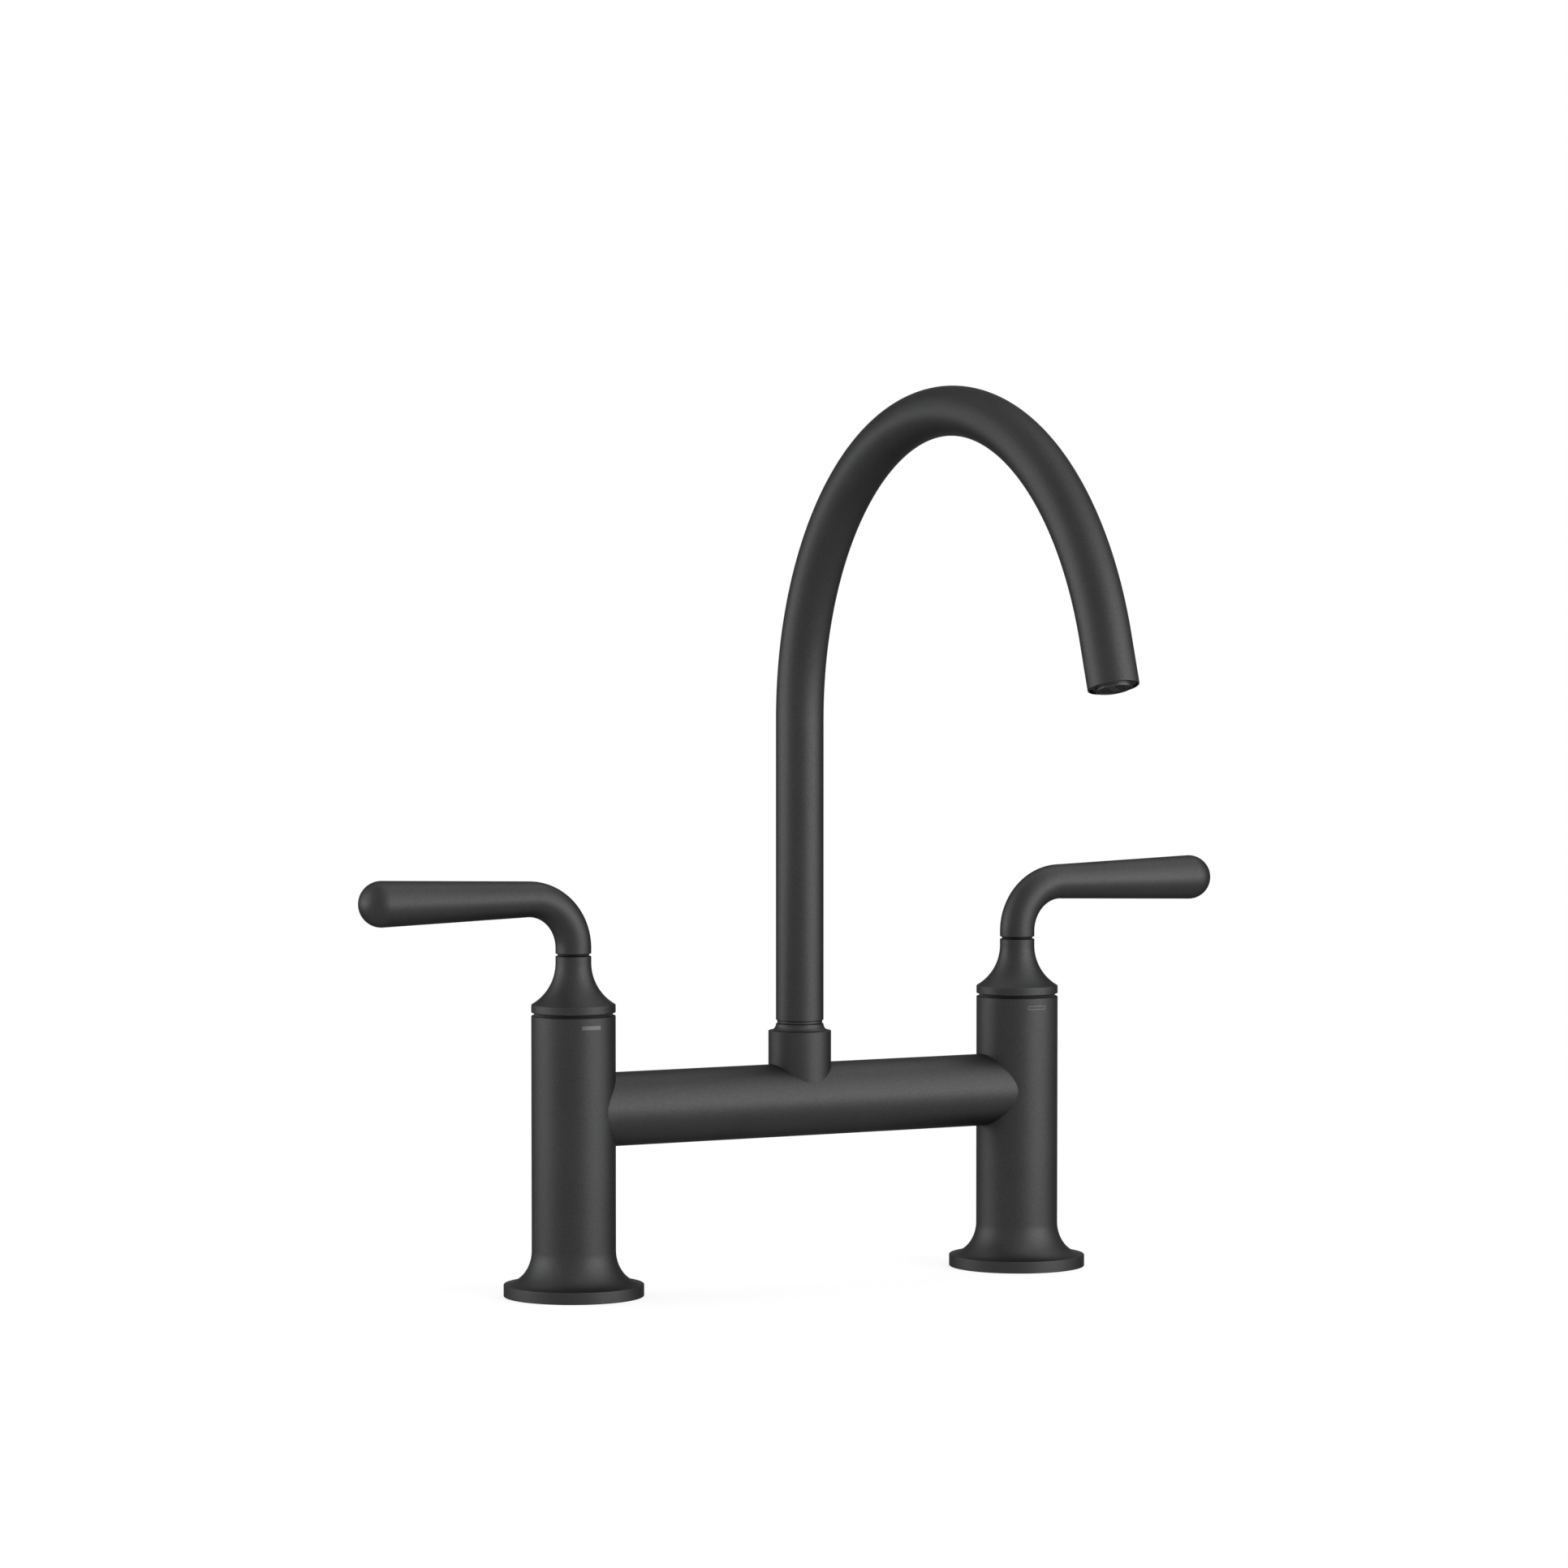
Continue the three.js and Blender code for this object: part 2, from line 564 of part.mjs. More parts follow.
function handleCap() {
  const skirt = glideBore - CLEARANCE;
  const skirtBottom = capBottom - CAP_SKIRT_DEPTH;
  const skirtBore = skirt - CAP_SKIRT_WALL;
  const hub = stemRadius + HUB_WALL;
  const hubBottom = capBottom - HUB_DROP;
  const pocketTop = capBottom + CAP_POCKET;
  const coveCentre = [neckRadius + coveRadius, coveTop];
  const cap = turned([
    [skirt, capBottom],
    [pillarRadius, capBottom],
    ...arc(coveCentre, [coveRadius, coveRadius], Math.PI + coveSweep, Math.PI, COVE_STEPS),
    [neckRadius, neckTop],
    [studBore, neckTop],
    [studBore, webTop],
    [screwHole, webTop],
    [screwHole, hubBottom],
    [hub, hubBottom],
    [hub, pocketTop],
    [skirtBore, pocketTop],
    [skirtBore, skirtBottom],
    [skirt, skirtBottom],
  ]);
  return cut(cap, spline(splineTip + CLEARANCE, hubBottom - OVERRUN, webBottom));
}

function capScrew() {
  const shank = CAP_SCREW_DIAMETER / 2;
  const head = studBore - CAP_SCREW_PLAY;
  const headBottom = webTop + CLEARANCE;
  const shankBottom = splineBottom + 2 * CLEARANCE;
  const screw = turned([
    [0, shankBottom],
    [shank, shankBottom],
    [shank, headBottom],
    [head, headBottom],
    [head, screwHeadTop],
    [0, screwHeadTop],
  ], TINY);
  const socketBottom = screwHeadTop - CAP_SCREW_SOCKET_DEPTH;
  return cut(screw, bar(CAP_SCREW_SOCKET / 2, socketBottom, screwHeadTop + OVERRUN, 6));
}

const leverStud = () => bar(studRadius, screwHeadTop + CLEARANCE, studTop - CLEARANCE);

const leverSpacer = () =>
  ring(studBore, neckRadius - SPACER_INSET, neckTop + SPACER_PLAY, leverBottom - SPACER_PLAY, SMALL);

function lever() {
  const line = new BentLine({
    bottom: leverBottom,
    riser: LEVER_FOOT,
    radius: LEVER_BEND_RADIUS,
    angle: Math.PI / 2,
    tail: BITE,
    bendSteps: LEVER_STEPS,
  });
  const bend = swept(line, neckRadius, 0, SMALL).rotateZ(Math.PI / 2);
  const endRadius = LEVER_END_DIAMETER / 2;
  const arm = turned([
    [0, 0],
    [neckRadius, 0],
    ...arc([0, LEVER_ARM], [endRadius, endRadius], 0, Math.PI / 2, DOME_STEPS),
  ], SMALL);
  arm.rotateY(Math.PI / 2).translate(LEVER_BEND_RADIUS, 0, leverBottom + LEVER_FOOT + LEVER_BEND_RADIUS);
  return cut(fuse(bend, arm), bar(studBore, leverBottom - OVERRUN, studTop));
}

function bridgeNipple() {
  const grooveRadius = nippleRadius - O_RING_DEPTH;
  const grooveEnd = nippleGroove + grooveWidth;
  return towardsBridge(turned([
    [portRadius, nippleStart],
    [nippleRadius, nippleStart],
    [nippleRadius, nippleGroove],
    [grooveRadius, nippleGroove],
    [grooveRadius, grooveEnd],
    [nippleRadius, grooveEnd],
    [nippleRadius, nippleEnd],
    [portRadius, nippleEnd],
  ], SMALL));
}

/** An O-ring in the groove that starts at that height, a little proud of the shaft it sits on. */
function oRing(shaftRadius, grooveStart) {
  const inner = shaftRadius - O_RING_DEPTH + CLEARANCE;
  const bottom = grooveStart + CLEARANCE;
  return ring(inner, shaftRadius + O_RING_SQUEEZE, bottom, bottom + O_RING_WIDTH, SMALL);
}

function valveSide(side) {
  const group = new THREE.Group();
  const right = side === "right";
  group.position.x = (right ? 1 : -1) * (HOLE_CENTRES / 2);
  group.rotation.z = right ? 0 : Math.PI;
  group.add(
    mesh(`${side}_pillar_shell`, pillarShell(), BLACK_COAT),
    mesh(`${side}_foot_gasket`, footGasket(), RUBBER),
    mesh(`${side}_valve_body`, valveBody(), BRASS),
    mesh(`${side}_seat_seal`, seatSeal(), RUBBER),
    mesh(`${side}_cartridge_body`, cartridgeBody(), BRASS),
    mesh(`${side}_fixed_disc`, ceramicDisc(discBottom, 0), CERAMIC),
    mesh(`${side}_rotating_disc`, rotatingDisc(), CERAMIC),
    mesh(`${side}_spindle`, spindle(), BRASS),
    mesh(`${side}_spindle_clip`, spindleClip(), STEEL),
    mesh(`${side}_glide_ring`, glideRing(), POLYMER),
    mesh(`${side}_handle_cap`, handleCap(), BLACK_COAT),
    mesh(`${side}_cap_screw`, capScrew(), STEEL),
    mesh(`${side}_lever_stud`, leverStud(), STEEL),
    mesh(`${side}_lever_spacer`, leverSpacer(), POLYMER),
    mesh(`${side}_lever`, lever(), BLACK_COAT),
    mesh(`${side}_bridge_nipple`, bridgeNipple(), BRASS),
    mesh(`${side}_nipple_o_ring`, towardsBridge(oRing(nippleRadius, nippleGroove)), RUBBER),
  );
  return group;
}

// ---------------------------------------------------------------- Bridge and collar
function bridgeTube() {
  const half = HOLE_CENTRES / 2;
  const end = half - pillarBore; // trimmed back to the pillars below
  const bore = bridgeRadius - BRIDGE_WALL;
  const socketEnd = half - nippleEnd - SOCKET_PLAY;
  const tube = turned([
    [portHole, -end],
    [bridgeRadius, -end],
    [bridgeRadius, end],
    [portHole, end],
    [portHole, socketEnd],
    [bore, socketEnd],
    [bore, -socketEnd],
    [portHole, -socketEnd],
  ]);
  tube.rotateY(Math.PI / 2).translate(0, 0, BRIDGE_HEIGHT);
  const pillars = [-half, half].map((x) =>
    bar(pillarRadius + CLEARANCE, 0, pillarTop, ROUND).translate(x, 0, 0),
  );
  const collarHole = bar(collarTail + CLEARANCE, BRIDGE_HEIGHT, collarTop, ROUND);
  return cut(tube, ...pillars, collarHole);
}

/** A round bar at the grub screw's height, running from the spout's axis towards +Y. */
const grubBar = (radius, from, to) =>
  bar(radius, from, to, TINY).rotateX(-Math.PI / 2).translate(0, 0, grubHeight);

function teeCollar() {
  const coveFoot = collarTop - COLLAR_LIP - COLLAR_COVE_RADIUS;
  const coveCentre = [collarRadius - COLLAR_LEDGE, coveFoot + COLLAR_COVE_RADIUS];
  const coveRadii = [COLLAR_COVE_RADIUS, COLLAR_COVE_RADIUS];
  const outside = turned([
    [collarBore, BRIDGE_HEIGHT],
    [collarRadius, BRIDGE_HEIGHT],
    [collarRadius, coveFoot],
    ...arc(coveCentre, coveRadii, 1.5 * Math.PI, Math.PI, SMALL_COVE_STEPS),
    [collarRadius - COLLAR_LEDGE - COLLAR_COVE_RADIUS, collarTop],
    [collarBore, collarTop],
  ]);
  const saddle = bar(bridgeRadius + CLEARANCE, -collarRadius - OVERRUN, collarRadius + OVERRUN, ROUND);
  saddle.rotateY(Math.PI / 2).translate(0, 0, BRIDGE_HEIGHT);
  const tailBottom = BRIDGE_HEIGHT + bridgeRadius - BRIDGE_WALL - COLLAR_TAIL_DROP;
  const tailTop = BRIDGE_HEIGHT + bridgeRadius + CLEARANCE + BITE;
  const tail = ring(collarBore, collarTail, tailBottom, tailTop);
  return cut(fuse(cut(outside, saddle), tail), grubBar(grubRadius + CLEARANCE, 0, collarRadius + OVERRUN));
}

const swivelRing = () =>
  ring(collarBore, spoutRadius - SWIVEL_INSET, collarTop + CLEARANCE, spoutBottom - CLEARANCE);

function grubScrew() {
  const outer = collarRadius - GRUB_SCREW_INSET;
  const screw = grubBar(grubRadius, spigotRadius - O_RING_DEPTH + CLEARANCE, outer);
  return cut(screw, grubBar(GRUB_SOCKET / 2, outer - GRUB_SOCKET, outer + OVERRUN));
}

function bridgeGroup() {
  const group = new THREE.Group();
  group.add(
    mesh("bridge_tube", bridgeTube(), BLACK_COAT),
    mesh("tee_collar", teeCollar(), BLACK_COAT),
    mesh("swivel_ring", swivelRing(), BLACK_COAT),
    mesh("spout_grub_screw", grubScrew(), STEEL),
  );
  return group;
}

// ---------------------------------------------------------------- Spout
/** Moves a geometry to the outlet, where its Z runs back up the spout from the outlet's plane. */
const atOutlet = (geometry) =>
  geometry.rotateX(bendAngle - Math.PI).translate(0, -outletReach, outletHeight);

function spoutTube() {
  const line = new BentLine({
    bottom: spoutBottom,
    riser: SPOUT_RISER,
    radius: SPOUT_BEND_RADIUS,
    angle: bendAngle,
    tail: SPOUT_TAIL,
    bendSteps: BEND_STEPS,
  });
  const counterbore = atOutlet(bar(aeratorRadius + CLEARANCE, -OVERRUN, AERATOR_SEAT, ROUND));
  return cut(swept(line, spoutRadius, spoutBore, ROUND), counterbore);
}

function spoutSpigot() {
  const bore = spigotRadius - SPIGOT_WALL;
  /** A groove round the spigot, as points of its outline. */
  const groove = (bottom, top, depth) => [
    [spigotRadius, bottom],
    [spigotRadius - depth, bottom],
    [spigotRadius - depth, top],
    [spigotRadius, top],
  ];
  const screwHalf = grubRadius + CLEARANCE;
  return turned([
    [bore, spigotBottom],
    [spigotRadius, spigotBottom],
    ...groove(lowerGroove, lowerGroove + grooveWidth, O_RING_DEPTH),
    ...groove(upperGroove, upperGroove + grooveWidth, O_RING_DEPTH),
    ...groove(grubHeight - screwHalf, grubHeight + screwHalf, O_RING_DEPTH),
    [spigotRadius, spigotTop],
    [bore, spigotTop],
  ], SMALL);
}

function aeratorHousing() {
  const mouthOuter = aeratorMouth + AERATOR_LIP;
  const top = AERATOR_SHOULDER + AERATOR_LENGTH;
  const housing = turned([
    [aeratorMouth, -AERATOR_PROUD],
    [mouthOuter, -AERATOR_PROUD],
    [mouthOuter, AERATOR_SHOULDER],
    [aeratorRadius, AERATOR_SHOULDER],
    [aeratorRadius, top],
    [aeratorBore, top],
    [aeratorBore, aeratorShelf],
    [aeratorMouth, aeratorShelf],
  ]);
  const notches = [0, 1, 2, 3].map((quarter) =>
    block(
      [aeratorRadius - NOTCH_DEPTH, -NOTCH_WIDTH / 2, 0],
      [aeratorRadius + OVERRUN, NOTCH_WIDTH / 2, AERATOR_SHOULDER + NOTCH_HEIGHT],
    ).rotateZ(((quarter + 0.5) * Math.PI) / 2),
  );
  return cut(housing, ...notches);
}

/** A stepped disc that fills the mouth, pierced by square holes on both sides of a plain bar. */
function aeratorInsert() {
  const face = INSERT_RECESS - AERATOR_PROUD;
  const faceRadius = aeratorMouth - CLEARANCE;
  const disc = turned([
    [0, face],
    [faceRadius, face],
    [faceRadius, insertBottom],
    [insertRadius, insertBottom],
    [insertRadius, insertTop],
    [0, insertTop],
  ], SMALL);
  const turn = THREE.MathUtils.degToRad(GRID_TURN);
  const half = GRID_HOLE / 2;
  const reach = faceRadius - GRID_RIM;
  const count = Math.ceil(reach / GRID_PITCH);
  const holes = [];
  for (let column = 0; column < count; column++) {
    for (let row = -count; row <= count; row++) {
      const [x, y] = [GRID_BAR / 2 + half + column * GRID_PITCH, row * GRID_PITCH];
      if (Math.hypot(x + half, Math.abs(y) + half) > reach) continue;
      const hole = block([x - half, y - half, face - OVERRUN], [x + half, y + half, insertTop + OVERRUN]);
      holes.push(hole.clone().rotateZ(turn), hole.rotateZ(turn + Math.PI));
    }
  }
  return cut(disc, ...holes);
}

function flowRegulator() {
  const bottom = insertTop + CLEARANCE;
  return ring(REGULATOR_HOLE / 2, insertRadius, bottom, bottom + REGULATOR_THICKNESS, SMALL);
}

function aeratorWasher() {
  const top = AERATOR_SEAT - CLEARANCE;
  return ring(spoutBore - WASHER_INSET, aeratorRadius, top - WASHER_THICKNESS, top, SMALL);
}

function spoutGroup() {
  const group = new THREE.Group();
  group.add(
    mesh("spout_tube", spoutTube(), BLACK_COAT),
    mesh("spout_spigot", spoutSpigot(), BRASS),
    mesh("spout_o_ring_lower", oRing(spigotRadius, lowerGroove), RUBBER),
    mesh("spout_o_ring_upper", oRing(spigotRadius, upperGroove), RUBBER),
    mesh("aerator_housing", atOutlet(aeratorHousing()), POLYMER),
    mesh("aerator_insert", atOutlet(aeratorInsert()), POLYMER),
    mesh("flow_regulator", atOutlet(flowRegulator()), POLYMER),
    mesh("aerator_washer", atOutlet(aeratorWasher()), RUBBER),
  );
  return group;
}

// ---------------------------------------------------------------- The faucet
const faucet = new THREE.Group();
faucet.add(valveSide("left"), valveSide("right"), bridgeGroup(), spoutGroup());

export default faucet;
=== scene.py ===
"""Bridge kitchen faucet in matt black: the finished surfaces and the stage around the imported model.

Everything is in metres, in the model's own frame: the origin on the deck midway between the pillars, X to the
cold side, the spout towards -Y and Z up. Outlines are lists of (radius, height) turned about an upright axis.
"""
import json
import math

import bmesh
import bpy
from bpy.props import FloatProperty, FloatVectorProperty, PointerProperty
from mathutils import Matrix, Vector


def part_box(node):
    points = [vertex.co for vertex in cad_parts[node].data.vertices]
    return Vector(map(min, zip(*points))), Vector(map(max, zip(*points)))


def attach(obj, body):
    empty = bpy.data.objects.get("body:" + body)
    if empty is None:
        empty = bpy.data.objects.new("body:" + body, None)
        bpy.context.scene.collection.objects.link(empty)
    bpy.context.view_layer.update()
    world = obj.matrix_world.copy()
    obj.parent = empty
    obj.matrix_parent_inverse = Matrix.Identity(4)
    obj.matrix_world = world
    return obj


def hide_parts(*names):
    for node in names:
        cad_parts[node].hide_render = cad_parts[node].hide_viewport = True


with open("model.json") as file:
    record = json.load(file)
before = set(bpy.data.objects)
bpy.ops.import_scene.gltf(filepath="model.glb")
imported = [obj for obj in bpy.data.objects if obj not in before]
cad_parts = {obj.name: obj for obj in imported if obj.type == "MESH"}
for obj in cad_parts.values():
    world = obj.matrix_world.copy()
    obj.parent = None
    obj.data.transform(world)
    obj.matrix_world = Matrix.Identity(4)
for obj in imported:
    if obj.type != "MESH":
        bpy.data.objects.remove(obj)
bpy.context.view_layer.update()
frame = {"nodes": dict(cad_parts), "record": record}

bl_info = {
    "name": "Bridge kitchen faucet",
    "version": (1, 0, 0),
    "blender": (4, 5, 0),
    "location": "View3D > Sidebar > Faucet",
    "description": "Builds the finished surfaces of a bridge kitchen faucet and its studio",
    "category": "Object",
}

SIDES = 128  # of the large turned shapes
SMALL_SIDES = 96  # of the spout, the levers and the rings
TINY_SIDES = 32  # of screws and drilled holes
COVE_STEPS = 24
SPOUT_STEPS = 90
LEVER_STEPS = 36
DOME_STEPS = 24
EDGE_STEPS = 3  # across a rounded edge
SHARP = math.radians(35)  # edges that fold more than this are rounded or shaded as sharp
WELD = 1e-6  # points nearer than this become one
SUNK = 0.00005  # how far a joined shape reaches into the one it meets
OVERRUN = 0.001  # how far a cutting shape runs past what it cuts
CLEARANCE = 0.0003  # between a part and the hole or seat that takes it
RUNNING_GAP = 0.00004  # between faces that turn past each other
SIDE_NAMES = ("left", "right")

# Sizes inside the faucet and in its seams
SKIRT_INSET = 0.0035  # from the glide ring's edge in to the cap's skirt
HUB_MARGIN = 0.0022  # radius of the cap's hub beyond the stud's hole
HUB_DROP = 0.002  # how far the hub reaches down below the cap's rim
POCKET_RISE = 0.0029  # how far the pocket round the hub reaches up from the rim's lower edge
SPLINE_BORE = 0.0043  # radius of the hub's bore for the spindle
SCREW_SEAT = 0.0035  # height of the cap screw's seat above the spindle
SCREW_HOLE = 0.0021  # radius of the cap screw's hole
GLIDE_WALL = 0.001  # thickness of the glide ring's sleeve
GLIDE_FLANGE = 0.0007  # how far the glide ring's flange reaches down from the pillar's top
HIDDEN_RING = 0.0003  # how far inside the collar's edge the bridge's outline is divided
SPIGOT_ROOM = 0.0025  # round the spigot, in the bridge's hole
SET_SCREW_HOLE = 0.0018  # radius of the set screw's hole in the collar
SOCKET_RADIUS = 0.0009  # of the set screw's socket, out to its corners
SOCKET_DEPTH = 0.0018
BAND_STEP = 0.0003  # how far a seam's band stands proud of the ring behind it

# Rounded edges
FINE_EDGE = 0.00018  # of the collar and the gooseneck
GLIDE_EDGE = 0.0001
SET_SCREW_EDGE = 0.0002
BAND_EDGE = 0.00008

# Finishes. Noise scales are in cells per metre and reliefs in metres.
# Tints are the darkest and the lightest share of a colour.
GRAIN = {"scale": 2600.0, "detail": 3.0, "roughness": 0.65}
PEBBLE = {"scale": 900.0, "detail": 2.0}
CLOUD = {"scale": 35.0, "detail": 3.0}
GRAIN_TONE = 1.1  # how far the grain swings the coating's tone
CLOUD_TONE = 0.25
COAT_SPAN = (0.2, 0.8)  # of the tone, from one tint to the other
COAT_TINTS = (0.79, 1.21)
COAT_RELIEF = 0.000012
GRAIN_SHARE = 0.6  # of the coating's relief
PEBBLE_SHARE = 0.4
MARK_SOFTNESS = 0.00004  # half the width of a mark's soft edge
MOULDING_ROUGHNESS = 0.45
CLOUD_SPAN = (0.25, 0.75)  # of the clouds, from one tint to the other
METAL_CLOUD = 60.0
METAL_RINGS = (60.0, 60.0, 2600.0)
METAL_TINTS = (0.86, 1.08)
METAL_RELIEF = 0.00001
MOULDED_CLOUD = 50.0
MOULDED_TINTS = (0.85, 1.1)
ROUGHNESS_SWINGS = {  # how far the clouds and the finer noise swing a finish's roughness
    "coat": (0.06, 0.04),
    "metal": (0.12, 0.1),
    "moulded": (0.08, 0.06),
}
METALS = {"brass": 0.3, "steel": 0.28}  # with their roughness
MOULDED = {  # with roughness, scale and relief of the grain, and gloss
    "ceramic": (0.16, 1800.0, 0.000003, 0.5),
    "rubber": (0.75, 2200.0, 0.00001, 0.5),
    "polymer": (0.65, 2000.0, 0.000006, 0.15),
}

# Stage
LAMP_TARGET = (0, -0.09, 0.16)
LAMP_DISTANCE = 1.5
SOFTBOXES = {  # azimuth and elevation in degrees, width and height in metres, brightness
    "right_strip": (35, 1, 1.6, 0.36, 8.2),
    "right_softbox": (38, 27, 1.6, 1.1, 3.2),
    "top_softbox": (70, 66, 1.8, 1.2, 1.4),
    "left_strip": (-120, 1, 1.6, 0.36, 5.9),
    "left_softbox": (-120, 22, 1.6, 1.0, 2.3),
    "back_softbox": (152, 55, 2.1, 1.1, 1.8),
}
FLOOR_RADIUS = 6.0
FLOOR_SIDES = 64
FLOOR_GREY = 0.85
FLOOR_FADE = (0.25, 0.7)  # distances from the middle between which the floor turns plain white
FLOOR_NEAR = 0.8  # share of plain white nearer than that
CLIP_END = 50.0


# ---------------------------------------------------------------- Sizes read from the frame
def low(node):
    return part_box(node)[0]


def high(node):
    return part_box(node)[1]


def radius_of(node, axis="x"):
    """Half of a turned node's width, measured along an axis."""
    return (getattr(high(node), axis) - getattr(low(node), axis)) / 2


def middle_of(node, axis="x"):
    """The middle of a node's box along an axis."""
    return (getattr(low(node), axis) + getattr(high(node), axis)) / 2


def axis_of(side):
    """Where a pillar's axis stands along X."""
    return middle_of(f"{side}_handle_cap")


BRIDGE_RADIUS = radius_of("bridge_tube", "z")
BRIDGE_AXIS = low("bridge_tube").z + BRIDGE_RADIUS
PILLAR_RADIUS = radius_of("left_handle_cap")
FOOT_RADIUS = radius_of("left_pillar_shell")
PILLAR_TOP = high("left_pillar_shell").z
SPOUT_RADIUS = radius_of("spout_tube")
SPOUT_BOTTOM = low("spout_tube").z
COLLAR_RADIUS = radius_of("tee_collar")
COLLAR_TOP = high("tee_collar").z
PORT_RADIUS = radius_of("left_bridge_nipple", "z") + CLEARANCE  # of the hole that a nipple passes through


# ---------------------------------------------------------------- What a user may change
def length(name, default, description):
    return FloatProperty(
        name=name, description=description, default=default, min=0.0, precision=5,
        unit="LENGTH", subtype="DISTANCE",
    )


def share(name, default, description):
    return FloatProperty(
        name=name, description=description, default=default, min=0.0, max=1.0, subtype="FACTOR"
    )


def colour(name, default, description):
    return FloatVectorProperty(
        name=name, description=description, default=default, size=3, min=0.0, max=1.0, subtype="COLOR"
    )


class FaucetSizes(bpy.types.PropertyGroup):
    """Sizes of the shapes that the frame's boxes don't give."""

    edge_rounding: length("Edge rounding", 0.0003, "Radius of the turned edges")
    foot_rim: length("Foot rim", 0.0047, "Height of the foot's upright edge")
    foot_cove: length("Foot cove", 0.0132, "Height of the cove from the foot's rim up to the pillar")
    pillar_wall: length("Pillar wall", 0.003, "Thickness of the pillar's casing")
    groove_inset: length("Groove inset", 0.004, "From the foot's edge to the gasket's groove")
    groove_width: length("Groove width", 0.005, "Width of the gasket's groove")
    groove_depth: length("Groove depth", 0.0017, "Depth of the gasket's groove")
    rebate_wall: length("Rebate wall", 0.0008, "Wall of the pillar round the glide ring")
    rebate_depth: length("Rebate depth", 0.001, "Depth of the glide ring's seat")
    cap_rim: length("Cap rim", 0.0031, "Height of the cap's upright edge")
    cap_skirt: length("Cap skirt", 0.006, "How far the cap reaches down into the pillar")
    cap_skirt_wall: length("Cap skirt wall", 0.0019, "Thickness of the cap's skirt")
    cap_cove: length("Cap cove", 0.0187, "Radius of the cove from the cap's rim up to its neck")
    neck_radius: length("Neck radius", 0.007, "Radius of the cap's neck and of the lever's foot")
    lever_foot: length("Lever foot", 0.0022, "Straight stretch under the lever's bend")
    lever_bend: length("Lever bend", 0.0196, "Radius of the lever's bend")
    lever_socket: length("Lever socket", 0.0069, "Depth of the stud's socket in the lever")
    bridge_wall: length("Bridge wall", 0.003, "Thickness of the bridge tube")
    collar_ledge: length("Collar ledge", 0.0004, "Width of the step outside the collar's cove")
    collar_cove: length("Collar cove", 0.0026, "Radius of the collar's cove")
    collar_lip: length("Collar lip", 0.00015, "Straight stretch above the collar's cove")
    spout_wall: length("Spout wall", 0.0012, "Thickness of the spout tube")
    spout_bend: length("Spout bend", 0.1203, "Radius of the gooseneck's bend")
    spout_tail: length("Spout tail", 0.019, "Straight stretch from the bend to the outlet")
    spout_turn: FloatProperty(
        name="Spout turn", description="Angle of the gooseneck's bend",
        default=math.radians(162.2), subtype="ANGLE",
    )
    outlet_rounding: length("Outlet rounding", 0.00035, "Radius of the outlet's outer edge")
    mark_width: length("Mark width", 0.008, "Width of the hot and cold marks")
    mark_height: length("Mark height", 0.0015, "Height of the hot and cold marks")
    mark_line: length("Mark line", 0.00025, "Line width of the cold mark's outline")
    mark_drop: length("Mark drop", 0.0037, "Centre of the marks below the pillar's top")


class AeratorSizes(bpy.types.PropertyGroup):
    """Sizes of the keyed ring and the grid in the outlet. Depths run in from the outlet's edge."""

    seat: length("Seat", 0.011, "Depth of the outlet's counterbore")
    proud: length("Proud", 0.0009, "How far the mouth stands out of the outlet")
    shoulder: length("Shoulder", 0.0006, "Depth of the keyed shoulder round the mouth")
    shelf: length("Shelf", 0.002, "Depth of the shelf that the grid's disc rests on")
    top: length("Top", 0.0093, "Depth of the ring's other end")
    wall: length("Wall", 0.0013, "Thickness of the ring's wall")
    mouth: length("Mouth", 0.0061, "Radius of the mouth")
    lip: length("Lip", 0.0006, "Width of the ring round the mouth")
    lip_rounding: length("Lip rounding", 0.00026, "Radius of the ring's edges")
    notch: length("Notch", 0.002, "Width of the four notches for the key")
    notch_depth: length("Notch depth", 0.0009, "How far the notches reach in from the ring's outside")
    notch_end: length("Notch end", 0.0018, "Depth of the notches' ends")
    grid_recess: length("Grid recess", 0.00035, "Depth of the grid's face inside the mouth")
    disc_top: length("Disc top", 0.0073, "Depth of the grid's other face")
    pitch: length("Pitch", 0.00115, "Spacing of the grid's square holes")
    hole: length("Hole", 0.0008, "Width of the square holes")
    bar: length("Bar", 0.003, "Width of the plain bar across the grid")
    rim: length("Rim", 0.0003, "Width left outside the holes")
    turn: FloatProperty(
        name="Turn", description="Turn of the bar from straight ahead",
        default=math.radians(-47), subtype="ANGLE",
    )


class FaucetFinish(bpy.types.PropertyGroup):
    """Colours and surface qualities, with colours as linear values."""

    coat: colour("Coat", (0.0352, 0.0355, 0.0355), "The matt black coating")
    coat_edge: colour("Coat edge", (0.36, 0.36, 0.36), "Share of the gloss that is left at the outlines")
    coat_roughness: share("Coat roughness", 0.52, "Roughness of the coating")
    mark: colour("Mark", (0.078, 0.079, 0.079), "The hot and cold marks")
    brass: colour("Brass", (0.62, 0.40, 0.13), "Valve bodies, cartridges and the spigot")
    steel: colour("Steel", (0.52, 0.53, 0.54), "Screws, studs and clips")
    ceramic: colour("Ceramic", (0.78, 0.76, 0.71), "The valve discs")
    rubber: colour("Rubber", (0.012, 0.012, 0.012), "Gaskets and O-rings")
    polymer: colour("Polymer", (0.003, 0.003, 0.003), "The rings in the seams")
    moulding: colour("Moulding", (0.048, 0.048, 0.048), "The aerator's ring and grid")


